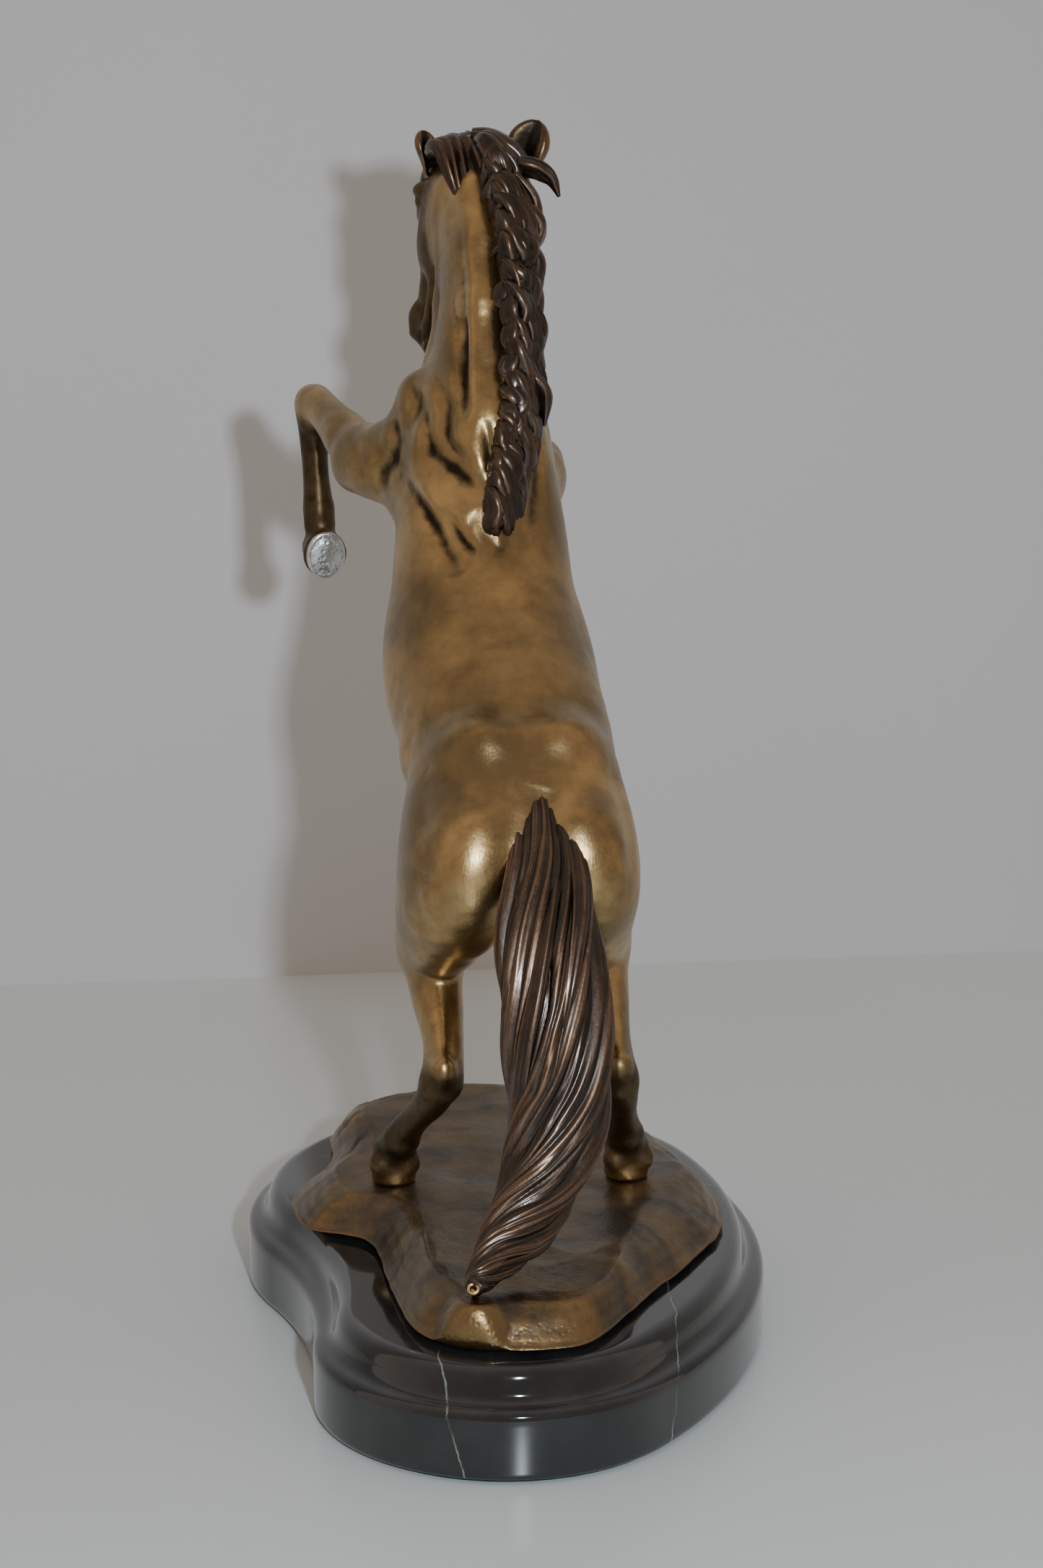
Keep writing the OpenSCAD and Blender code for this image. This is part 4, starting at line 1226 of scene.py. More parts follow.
@dataclass
class Ground:
    """The rock-like bronze plate: a heightfield in rings about its middle, over the outline."""

    outline: tuple[tuple[float, float], ...] = (
        (64.5, -96), (61.5, -72), (69.5, -50), (73.3, -25), (66, -1), (46, 9), (39, 28), (32.5, 61),
        (24, 93), (10, 106), (-3, 108.5), (-16, 108), (-32, 102), (-43, 84), (-55, 58), (-67.5, 33),
        (-80, 4), (-82, -21), (-76, -52), (-62, -94), (-40, -122), (-12, -141), (17, -147), (44, -140),
        (60, -118))
    rests: tuple[tuple[float, float, float], ...] = ((31, -13, 15), (-52, -19, 15), (4.7, 100.8, 10))

    def height(self, xy: Array, edge: Array) -> Array:
        """Height over the plinth. It rises from the thin rim as s(2 - s), where s is the way in from the
        rim over a wandering width. Soft folds, faint ledges by the rim, a knob near the tail's left and
        gullies in that corner are added, and it is level where hooves and tail stand.

        Args:
            xy: places in the part's frame, in millimetres.
            edge: how far each is inside the outline.

        Returns:
            Heights in millimetres above the plinth's top.
        """
        width = 17 + 7 * value_noise(xy, 38, 41)
        s = np.clip(edge / width, 0, 1)
        rise = 2.8 + 11.4 * s * (2 - s)
        shift = np.stack([value_noise(xy, 26, 51), value_noise(xy, 26, 52)], -1)
        fold = 1 - np.abs(fractal(xy + 4 * shift, 58, 11, 3)) * 1.6
        steps = np.sin(2 * math.pi * (rise + 2.6 * value_noise(xy, 24, 61)) / 3.4)
        ledge = 0.16 * steps * np.clip(3 * (1 - s), 0, 1)
        h = rise + 1.25 * fold * np.clip(edge / 10, 0.25, 1) + ledge + 0.16 * fractal(xy, 11, 21, 3) - 0.3
        knob = 2.6 * np.exp(-((xy[:, 0] - 56) ** 2 + (xy[:, 1] + 90) ** 2) / 160)
        brow = np.exp(-(((s - 0.86) / 0.13) ** 2)) * value_noise(xy, 22, 77)
        h = h + knob + brow
        gully = np.abs(fractal(xy, 19, 91, 3))
        rough = 0.18 + 0.82 * np.clip((xy[:, 0] - 42) / 14, 0, 1) * np.clip((-40 - xy[:, 1]) / 20, 0, 1)
        h = h - 1.5 * rough * np.clip(0.35 - gully, 0, 1) / 0.35 * np.sin(math.pi * np.clip(s, 0, 1))
        for x, y, r in self.rests:
            near = np.clip(1.4 - np.hypot(xy[:, 0] - x, xy[:, 1] - y) / r, 0, 1)
            near = near * near * (3 - 2 * near)
            h = h * (1 - near) + (GROUND_TOP - PLINTH_TOP - 0.15) * near
        return np.clip(h, 2.2, 18.0)

    def piece(self) -> Piece:
        """Builds the plate: rings about its middle, a rim that is undercut and a flat underside.

        Returns:
            The plate.
        """
        n, rings = 420, 120
        line = np.array(self.outline + self.outline[:1], float)
        spread = smooth_rows(line, n + 1)[:-1]
        steps, corners = np.linspace(0, len(line) - 1, n, endpoint=False), np.arange(len(line))
        straight = np.stack([np.interp(steps, corners, line[:, k]) for k in (0, 1)], -1)
        rim = 0.85 * spread + 0.15 * straight
        middle = np.array([-8.0, -20.0])
        out = rim - middle
        out /= np.linalg.norm(out, axis=1)[:, None]
        rim = rim - out * (0.8 + 0.9 * fractal(rim, 20, 31, 3)[:, None])
        share = np.linspace(0, 1, rings) ** 0.85
        xy = middle + share[:, None, None] * (rim - middle)[None]
        flat = xy.reshape(-1, 2)
        reach = np.linalg.norm(rim - middle, axis=1)
        edge = ((1 - share)[:, None] * reach[None]).reshape(-1)
        z = self.height(flat, edge)
        top = np.column_stack([flat, z + PLINTH_TOP]).reshape(rings, n, 3)
        wall = []
        for t in (0.35, 0.7, 1.0):
            w = top[-1].copy()
            w[:, :2] += out * (0.9 * math.sin(math.pi * t) + 0.4)
            w[:, 2] = w[:, 2] * (1 - t) + (PLINTH_TOP + 1.7) * t
            wall.append(w)
        for inset, z in ((1.0, 1.2), (3.2, 0.9), (4.0, 0.02), (6.0, 0.02)):
            w = top[-1].copy()
            w[:, :2] -= out * inset
            w[:, 2] = PLINTH_TOP + z
            wall.append(w)
        grid = np.concatenate([top, np.stack(wall)])[::-1]
        points, quads, tris = closed_tube(grid)
        skin = Skin(points, np.concatenate([quads[:, [0, 1, 2]], quads[:, [0, 2, 3]], tris]))
        fine = np.clip(skin.hollowness(5) / 0.5, -1, 1)
        broad = np.clip(skin.hollowness(30) / 1.6, -1, 1)
        hollow = fine * 0.4 + broad * 0.6
        slope = np.clip(1 - skin.normals()[:, 2], 0, 1)
        return Piece("ground_casting", points * MM, quads, tris,
                     {"hollow": 1.6 * hollow - 0.3 * slope, "stain_and_shade": 0.4 - 0.3 * slope})


@dataclass
class Plinth:
    """The marble plinth: two lobes drawn together, with a moulded edge."""

    far: tuple[float, float, float] = (2, -62, 91)
    near: tuple[float, float, float] = (-5, 62, 65)
    waist: float = 170
    flank: float = 200

    def beside(self, one: tuple[float, float, float], two: tuple[float, float, float], radius: float,
               side: float) -> Array:
        """The centre of a circle that touches both lobes: outside them for side -1 and around them for 1.

        Args:
            one, two: the lobes.
            radius: of the touching circle.
            side: see above.

        Returns:
            Its centre.
        """
        a, b = np.array(one[:2]), np.array(two[:2])
        ra, rb = (radius + one[2], radius + two[2]) if side < 0 else (radius - one[2], radius - two[2])
        d = np.linalg.norm(b - a)
        along = (ra**2 - rb**2 + d**2) / (2 * d)
        off = math.sqrt(ra**2 - along**2)
        u = (b - a) / d
        return a + u * along + np.array([u[1], -u[0]]) * off

    def outline(self, inset: float) -> Array:
        """The outline drawn in by inset: four arcs that meet smoothly.

        Args:
            inset: how far in.

        Returns:
            Rows of x and y, running anticlockwise.
        """
        w = self.beside(self.far, self.near, self.waist, -1)
        f = self.beside(self.far, self.near, self.flank, 1)
        fa, ne = np.array(self.far[:2]), np.array(self.near[:2])
        arcs = [(fa, self.far[2] - inset, heading(f, fa), heading(fa, w)),
                (w, self.waist + inset, heading(w, fa), heading(w, ne)),
                (ne, self.near[2] - inset, heading(ne, w), heading(f, ne)),
                (f, self.flank - inset, heading(f, ne), heading(f, fa))]
        rows = []
        for k, (c, r, a0, a1) in enumerate(arcs):
            a0, a1 = a0 % (2 * math.pi), a1 % (2 * math.pi)
            if k == 1:
                a1 = a1 if a1 < a0 else a1 - 2 * math.pi
            else:
                a1 = a1 if a1 > a0 else a1 + 2 * math.pi
            a = np.linspace(a0, a1, POINTS_PER_ARC, endpoint=False)
            rows.append(c + r * np.stack([np.cos(a), np.sin(a)], -1))
        return np.concatenate(rows)

    def piece(self) -> Piece:
        """Builds the plinth by carrying a moulded profile around the outline.

        Returns:
            The plinth.
        """
        profile = [(1.2, 1.5), (0.4, 1.8), (0.05, 2.6), (0, 4), (0, 12), (0, 19.5), (0.1, 21.4),
                   (0.5, 22.8), (1.2, 23.8), (2.2, 24.4), (3.4, 24.7), (4.6, 25.0), (5.6, 25.6),
                   (6.5, 26.6), (7.1, 28.0), (7.6, 29.8), (8.1, 31.6), (8.7, 33.1), (9.5, 34.3),
                   (10.5, 35.2), (11.6, 35.7), (12.8, 35.95), (14.0, 36)]
        around = 4 * POINTS_PER_ARC
        rings = [np.column_stack([self.outline(i), np.full(around, z)]) for i, z in profile]
        middle = np.array([-1.0, -14.0])
        top = [np.column_stack([middle + (rings[-1][:, :2] - middle) * s, np.full(around, PLINTH_TOP)])
               for s in (0.75, 0.4, 0.1)]
        low = [np.column_stack([middle + (rings[0][:, :2] - middle) * s, np.full(around, 1.5)])
               for s in (0.1, 0.5)]
        points, quads, tris = closed_tube(np.stack(low + rings + top))
        return Piece("marble_base", points * MM, quads, tris)


@dataclass
class SmallParts:
    """Sole plates and the ringed pin at the tail's tip."""

    def sole(self, name: str, at: Sequence[float], yaw: float) -> Piece:
        """A domed oval plate on a raised hoof: height falls from the middle as 1 - r^2, with a rounded rim.

        Args:
            name: the piece's name.
            at: the middle of its seat.
            yaw: how the hoof is turned.

        Returns:
            The plate.
        """
        n, m = 72, turn(FORE_SOLE_TILT, 0, yaw)
        a = np.linspace(0, 2 * math.pi, n, endpoint=False)
        rings = []
        for r, h in [(1.0, -0.8), (1.06, 0.0), (1.06, 0.7), (1.0, 1.15), (0.93, 1.3), (0.86, 1.2),
                     (0.8, 1.25), (0.6, 1.65), (0.35, 1.95), (0.12, 2.08)]:
            rings.append(np.stack([7.5 * r * np.cos(a), 9.1 * r * np.sin(a), np.full(n, h)], -1))
        grid = np.stack(rings) @ m.T + np.asarray(at, float)
        p, q, t = closed_tube(grid)
        skin = Skin(p, np.concatenate([q[:, [0, 1, 2]], q[:, [0, 2, 3]], t]))
        return Piece(name, into_frame(p), q, t, {"hollow": skin.hollowness(3)})

    def ring(self) -> Piece:
        """The pin's hollow end that shows at the tail's tip: a collar with a sunk middle, turned back and up.

        Returns:
            The pin.
        """
        n, m = 48, turn(-52, 0, -6)
        a = np.linspace(0, 2 * math.pi, n, endpoint=False)
        rings = [np.stack([r * np.cos(a), r * np.sin(a), np.full(n, z)], -1) for r, z in
                 [(1.2, -6.5), (1.4, -6.0), (1.4, -1.0), (1.9, -0.7), (2.15, 0.0), (2.15, 0.7), (1.95, 1.15),
                  (1.6, 1.3), (1.25, 1.2),
                  (1.05, 0.8), (1.0, 0.0), (0.9, -0.5), (0.4, -0.6)]]
        p, q, t = closed_tube(np.stack(rings) @ m.T + np.array([5.3, 102.2, 56.0]))
        return Piece("tail_pin", p * MM, q, t)


# ---------------------------------------------------------------- finishes


Colour = tuple[float, float, float]


class Net:
    """Makes shader nodes and links in one tree."""

    def __init__(self, tree: bpy.types.NodeTree) -> None:
        """Keeps the tree.

        Args:
            tree: a material's or group's node tree.
        """
        self.tree = tree
        self.column = 0

    def node(self, kind: str, **inputs: object) -> bpy.types.Node:
        """Adds a node. A key that is one of its properties sets it. Any other key is a socket, named with
        _ for spaces, or by i and its number, and is linked or set.

        Args:
            kind: the node's type name without ShaderNode.
            inputs: properties and sockets.

        Returns:
            The node.
        """
        made = self.tree.nodes.new("ShaderNode" + kind)
        self.column += 1
        made.location = (180 * (self.column % 12), -220 * (self.column // 12))
        late = []
        for key, value in inputs.items():
            if hasattr(made, key) and not isinstance(value, bpy.types.NodeSocket):
                setattr(made, key, value)
            else:
                late.append((key, value))
        for key, value in late:
            numbered = key[0] == "i" and key[1:].isdigit()
            socket = made.inputs[int(key[1:]) if numbered else key.replace("_", " ")]
            if isinstance(value, bpy.types.NodeSocket):
                self.link(value, socket)
            else:
                socket.default_value = value
        return made

    def link(self, source: bpy.types.NodeSocket, target: bpy.types.NodeSocket) -> None:
        """Links an output to an input."""
        self.tree.links.new(source, target)

    def math(self, operation: str, a: object, b: object = 0.5, clamp: bool = False) -> bpy.types.NodeSocket:
        """A Math node's output.

        Args:
            operation: the node's operation.
            a, b: sockets or numbers.
            clamp: whether the result is held between 0 and 1.

        Returns:
            The output socket.
        """
        return self.node("Math", operation=operation, use_clamp=clamp, i0=a, i1=b, i2=0.0).outputs[0]

    def plus(self, a: object, b: object, clamp: bool = False) -> bpy.types.NodeSocket:
        """The sum of two sockets or numbers."""
        return self.math("ADD", a, b, clamp)

    def minus(self, a: object, b: object) -> bpy.types.NodeSocket:
        """The first of two sockets or numbers less the second."""
        return self.math("SUBTRACT", a, b)

    def times(self, a: object, b: object, clamp: bool = False) -> bpy.types.NodeSocket:
        """The product of two sockets or numbers."""
        return self.math("MULTIPLY", a, b, clamp)

    def span(self, value: object, low: float, high: float, to_low: float = 0.0,
             to_high: float = 1.0) -> bpy.types.NodeSocket:
        """A value eased from one range to another.

        Args:
            value: a socket or number.
            low, high: the range it comes from.
            to_low, to_high: the range it goes to.

        Returns:
            The output socket.
        """
        made = self.node("MapRange", interpolation_type="SMOOTHSTEP", Value=value, From_Min=low,
                         From_Max=high,
                         To_Min=to_low, To_Max=to_high)
        return made.outputs[0]

    def blend(self, share: object, a: object, b: object) -> bpy.types.NodeSocket:
        """A colour between two.

        Args:
            share: how much of the second, a socket or number.
            a, b: the two, each a socket or three numbers.

        Returns:
            The output socket.
        """
        made = self.node("Mix", data_type="RGBA")
        for index, value in ((0, share), (6, a), (7, b)):
            if isinstance(value, bpy.types.NodeSocket):
                self.link(value, made.inputs[index])
            else:
                made.inputs[index].default_value = (*value, 1.0) if isinstance(value, tuple) else value
        return made.outputs[2]

    def noise(self, place: object, scale: float, detail: float = 4,
              rough: float = 0.55) -> bpy.types.NodeSocket:
        """A noise value.

        Args:
            place: the socket with the place.
            scale: how many cells to a metre.
            detail, rough: how many octaves, and the height of each beside the last.

        Returns:
            The output socket.
        """
        return self.node("TexNoise", Vector=place, Scale=scale, Detail=detail, Roughness=rough).outputs[0]


def group(name: str, ins: Sequence[tuple[str, str, object]],
          outs: Sequence[tuple[str, str]]) -> tuple[Net, bpy.types.Node, bpy.types.Node]:
    """Starts a shader group with named sockets.

    Args:
        name: the group's name.
        ins: name, kind and default of each input.
        outs: name and kind of each output.

    Returns:
        The net, the group's input node and its output node.
    """
    tree = bpy.data.node_groups.new(name, "ShaderNodeTree")
    for label, kind, default in ins:
        socket = tree.interface.new_socket(name=label, in_out="INPUT", socket_type="NodeSocket" + kind)
        socket.default_value = (*default, 1.0) if kind == "Color" else default
    for label, kind in outs:
        tree.interface.new_socket(name=label, in_out="OUTPUT", socket_type="NodeSocket" + kind)
    return Net(tree), tree.nodes.new("NodeGroupInput"), tree.nodes.new("NodeGroupOutput")


class Effects:
    """The shared effects: patina with rubbed ridges, brushed grain, cast skin, veins and dust."""

    def __init__(self) -> None:
        """Builds every group once."""
        self.patina = self._patina()
        self.grain = self._grain()
        self.cast = self._cast()
        self.veins = self._veins()
        self.dust = self._dust()

    def _patina(self) -> bpy.types.NodeTree:
        """Dark in hollows, in stains and in painted shade, bare metal on ridges, a wandering tone between.
        The stain input, which also carries painted shade and painted highlight, hides the bare metal as far
        as Cover says.

        Returns:
            The group.
        """
        net, i, o = group("patina", [
            ("Bare", "Color", (0.5, 0.35, 0.2)), ("Tone", "Color", (0.3, 0.2, 0.1)),
            ("Dark", "Color", (0.03, 0.02, 0.015)),
            ("Hollow", "Float", 0.0), ("Stain_and_shade", "Float", 0.0), ("Rub", "Float", 0.5), ("Cover", "Float", 0.0),
            ("Patches", "Float", 40.0)],
            [("Color", "Color"), ("Roughness", "Float")])
        at = net.node("TexCoord").outputs["Object"]
        wide = net.node("TexNoise", Vector=at, Scale=i.outputs["Patches"], Detail=5.0,
                        Roughness=0.6).outputs[0]
        fine = net.noise(at, 900.0, 3)
        mid = net.noise(at, 210.0, 4)
        hollow = net.plus(i.outputs["Hollow"], net.times(net.minus(mid, 0.5), 0.9))
        deep = net.span(net.plus(hollow, net.times(i.outputs["Stain_and_shade"], 0.3)), 0.1, 1.1)
        deep = net.math("MAXIMUM", deep, net.times(i.outputs["Stain_and_shade"], net.span(mid, 0.2, 0.7, 0.95, 0.72)))
        ridge = net.span(net.plus(net.times(hollow, -1.0), net.times(net.minus(fine, 0.5), 0.5)), 0.12, 0.85)
        # bare metal from rubbing, and more where the stain input is below nil, which paints highlight
        worn_and_highlight = net.times(i.outputs["Rub"], net.minus(1.0, net.times(i.outputs["Stain_and_shade"], i.outputs["Cover"])))
        bare = net.times(ridge, worn_and_highlight, clamp=True)
        tone = net.blend(net.span(wide, 0.35, 0.68), i.outputs["Tone"], i.outputs["Bare"])
        tone = net.blend(net.times(net.span(mid, 0.42, 0.75), 0.35), tone, i.outputs["Tone"])
        shade = net.blend(deep, tone, i.outputs["Dark"])
        colour = net.blend(bare, shade, i.outputs["Bare"])
        rough = net.plus(net.span(deep, 0, 1, 0.30, 0.44), net.times(net.minus(fine, 0.5), 0.18))
        net.link(colour, o.inputs["Color"])
        net.link(net.minus(rough, net.times(bare, 0.08)), o.inputs["Roughness"])
        return net.tree

    def _grain(self) -> bpy.types.NodeTree:
        """Fine strokes along the height, as from a brush.

        Returns:
            The group.
        """
        net, i, o = group("brushed_grain", [("Pitch", "Float", 1400.0), ("Strength", "Float", 1.0)],
                          [("Height", "Float")])
        at = net.node("TexCoord").outputs["Object"]
        bend = net.node("TexNoise", Vector=at, Scale=18.0, Detail=2.0).outputs["Color"]
        place = net.node("VectorMath", operation="MULTIPLY_ADD", i0=bend, i1=(0.01, 0.01, 0.02),
                         i2=at).outputs[0]
        thin = net.node("VectorMath", operation="MULTIPLY", i0=place, i1=(1.0, 1.0, 0.06)).outputs[0]
        line = net.node("TexNoise", Vector=thin, Scale=i.outputs["Pitch"], Detail=4.0,
                        Roughness=0.65).outputs[0]
        net.link(net.times(line, i.outputs["Strength"]), o.inputs["Height"])
        return net.tree

    def _cast(self) -> bpy.types.NodeTree:
        """Soft dents and tooled pits of a sand-cast skin.

        Returns:
            The group.
        """
        net, i, o = group("cast_skin", [("Scale", "Float", 300.0), ("Pits", "Float", 0.4)],
                          [("Height", "Float")])
        at = net.node("TexCoord").outputs["Object"]
        low = net.node("TexNoise", Vector=at, Scale=i.outputs["Scale"], Detail=5.0, Roughness=0.6).outputs[0]
        cell = net.node("TexVoronoi", Vector=at, Scale=net.times(i.outputs["Scale"], 1.7)).outputs["Distance"]
        pit = net.times(net.span(cell, 0.0, 0.55, 1.0, 0.0), i.outputs["Pits"])
        net.link(net.minus(low, pit), o.inputs["Height"])
        return net.tree

    def _veins(self) -> bpy.types.NodeTree:
        """Thin pale veins where warped planes cross the stone, broken up by noise, over faint clouds.

        Returns:
            The group.
        """
        net, i, o = group("marble_veins", [
            ("Ground", "Color", (0.01, 0.01, 0.012)), ("Cloud", "Color", (0.03, 0.035, 0.035)),
            ("Vein", "Color", (0.25, 0.3, 0.24))],
            [("Color", "Color"), ("Roughness", "Float")])
        at = net.node("TexCoord").outputs["Object"]
        warp = net.node("TexNoise", Vector=at, Scale=26.0, Detail=6.0, Roughness=0.65).outputs["Color"]
        place = net.node("VectorMath", operation="MULTIPLY_ADD", i0=warp, i1=(0.009, 0.009, 0.009),
                         i2=at).outputs[0]
        part = net.node("SeparateXYZ", Vector=place).outputs
        breaks = net.noise(at, 55.0, 4)
        total = None
        for a, b, c, d, width in ((1.0, 0.0, -0.227, -0.0113, 0.00045), (1.0, 0.05, 0.12, 0.0480, 0.0003),
                                  (0.5, 1.0, 0.4, 0.0700, 0.0003)):
            plane = net.plus(net.plus(net.times(part[0], a), net.times(part[1], b)),
                             net.plus(net.times(part[2], c), d))
            vein = net.times(net.span(net.math("ABSOLUTE", plane), 0.0, width, 1.0, 0.0),
                             net.span(breaks, 0.36, 0.56))
            total = vein if total is None else net.math("MAXIMUM", total, vein)
        web = net.node("TexVoronoi", feature="DISTANCE_TO_EDGE", Vector=place, Scale=14.0).outputs[0]
        faint = net.times(net.span(web, 0.0, 0.010, 1.0, 0.0),
                          net.span(net.noise(at, 16.0), 0.55, 0.75, 0.0, 0.25))
        total = net.math("MAXIMUM", total, faint)
        base = net.blend(net.span(net.noise(place, 34.0, 7, 0.7), 0.42, 0.82), i.outputs["Ground"],
                         i.outputs["Cloud"])
        net.link(net.blend(total, base, i.outputs["Vein"]), o.inputs["Color"])
        net.link(net.plus(net.span(net.noise(at, 120.0, 3), 0.3, 0.8, 0.045, 0.10), net.times(total, 0.1)),
                 o.inputs["Roughness"])
        return net.tree

    def _dust(self) -> bpy.types.NodeTree:
        """A faint film on faces that look up, thicker in patches.

        Returns:
            The group.
        """
        net, i, o = group("dust", [("Color", "Color", (0.2, 0.2, 0.2)), ("Film", "Color", (0.35, 0.33, 0.3)),
                                   ("Amount", "Float", 0.1)],
                          [("Color", "Color"), ("Mask", "Float")])
        up = net.node("SeparateXYZ", Vector=net.node("NewGeometry").outputs["Normal"]).outputs[2]
        at = net.node("TexCoord").outputs["Object"]
        patch = net.span(net.noise(at, 75.0, 6, 0.65), 0.38, 0.72)
        mask = net.times(net.times(net.span(up, 0.35, 0.95), patch), i.outputs["Amount"])
        net.link(net.blend(mask, i.outputs["Color"], i.outputs["Film"]), o.inputs["Color"])
        net.link(mask, o.inputs["Mask"])
        return net.tree


@dataclass(frozen=True)
class Bronze:
    """A patinated bronze: bare metal on ridges, a wandering tone, dark hollows."""

    name: str
    bare: Colour
    tone: Colour
    dark: Colour
    rub: float = 0.6
    patches: float = 30.0
    bump: float = 0.25
    brushed: bool = True
    coat: float = 0.0
    shaded: bool = True
    rougher: float = 0.0
    film: float = 0.05
    cover: float = 0.0

    def make(self, effects: Effects) -> bpy.types.Material:
        """Makes the material.

        Args:
            effects: the shared groups.

        Returns:
            The material.
        """
        material, net, skin = blank(self.name)
        pat = net.node("Group", node_tree=effects.patina)
        for key, value in (("Bare", self.bare), ("Tone", self.tone), ("Dark", self.dark)):
            pat.inputs[key].default_value = (*value, 1.0)
        pat.inputs["Rub"].default_value = self.rub
        pat.inputs["Patches"].default_value = self.patches
        pat.inputs["Cover"].default_value = self.cover
        if self.shaded:
            # the stain attribute holds stain with painted shade and painted highlight
            for key, label in (("Hollow", "hollow"), ("Stain_and_shade", "stain_and_shade")):
                net.link(net.node("Attribute", attribute_name=label).outputs["Fac"], pat.inputs[key])
        dust = net.node("Group", node_tree=effects.dust)
        net.link(pat.outputs["Color"], dust.inputs["Color"])
        dust.inputs["Amount"].default_value = self.film
        net.link(dust.outputs["Color"], skin.inputs["Base Color"])
        rough = net.plus(pat.outputs["Roughness"],
                         net.plus(net.times(dust.outputs["Mask"], 0.6), self.rougher), clamp=True)
        net.link(rough, skin.inputs["Roughness"])
        skin.inputs["Metallic"].default_value = 1.0
        if self.coat:
            skin.inputs["Coat Weight"].default_value = self.coat
            skin.inputs["Coat Roughness"].default_value = 0.18
        grain = net.node("Group", node_tree=effects.grain if self.brushed else effects.cast)
        cast = net.node("Group", node_tree=effects.cast)
        height = net.plus(grain.outputs[0], net.times(cast.outputs[0], 0.6))
        bump = net.node("Bump", Strength=self.bump, Distance=0.0006, Height=height)
        net.link(bump.outputs[0], skin.inputs["Normal"])
        return material


@dataclass(frozen=True)
class Stone:
    """Polished marble."""

    name: str = "black_marble"
    ground: Colour = (0.008, 0.009, 0.011)
    cloud: Colour = (0.022, 0.026, 0.027)
    vein: Colour = (0.20, 0.26, 0.19)

    def make(self, effects: Effects) -> bpy.types.Material:
        """Makes the material.

        Args:
            effects: the shared groups.

        Returns:
            The material.
        """
        material, net, skin = blank(self.name)
        veins = net.node("Group", node_tree=effects.veins)
        for key, value in (("Ground", self.ground), ("Cloud", self.cloud), ("Vein", self.vein)):
            veins.inputs[key].default_value = (*value, 1.0)
        dust = net.node("Group", node_tree=effects.dust)
        net.link(veins.outputs["Color"], dust.inputs["Color"])
        dust.inputs["Amount"].default_value = 0.035
        net.link(dust.outputs["Color"], skin.inputs["Base Color"])
        net.link(net.plus(veins.outputs["Roughness"], net.times(dust.outputs["Mask"], 1.5)),
                 skin.inputs["Roughness"])
        skin.inputs["Coat Weight"].default_value = 0.6
        skin.inputs["Coat Roughness"].default_value = 0.05
        return material


@dataclass(frozen=True)
class Plain:
    """Felt, steel or rod brass: a mottled colour with a fine bump."""

    name: str
    low: Colour
    high: Colour
    metallic: float
    roughness: tuple[float, float]
    scale: float = 900.0
    bump: float = 0.2

    def make(self) -> bpy.types.Material:
        """Makes the material.

        Returns:
            The material.
        """
        material, net, skin = blank(self.name)
        at = net.node("TexCoord").outputs["Object"]
        value = net.noise(at, self.scale, 5, 0.65)
        slow = net.noise(at, self.scale / 12, 3)
        net.link(net.blend(net.span(net.times(net.plus(value, slow), 0.5), 0.35, 0.65), self.low, self.high),
                           skin.inputs["Base Color"])
        net.link(net.span(value, 0.3, 0.7, *self.roughness), skin.inputs["Roughness"])
        skin.inputs["Metallic"].default_value = self.metallic
        net.link(net.node("Bump", Strength=self.bump, Distance=0.0004, Height=value).outputs[0],
                 skin.inputs["Normal"])
        return material


def blank(name: str) -> tuple[bpy.types.Material, Net, bpy.types.Node]:
    """A new material with its Principled shader.

    Args:
        name: the material's name.

    Returns:
        The material, its net and the shader node.
    """
    material = bpy.data.materials.new(name)
    material.use_nodes = True
    tree = material.node_tree
    tree.nodes.clear()
    net = Net(tree)
    skin = tree.nodes.new("ShaderNodeBsdfPrincipled")
    end = tree.nodes.new("ShaderNodeOutputMaterial")
    tree.links.new(skin.outputs[0], end.inputs[0])
    skin.location, end.location = (900, 300), (1200, 300)
    return material, net, skin


# ---------------------------------------------------------------- studio


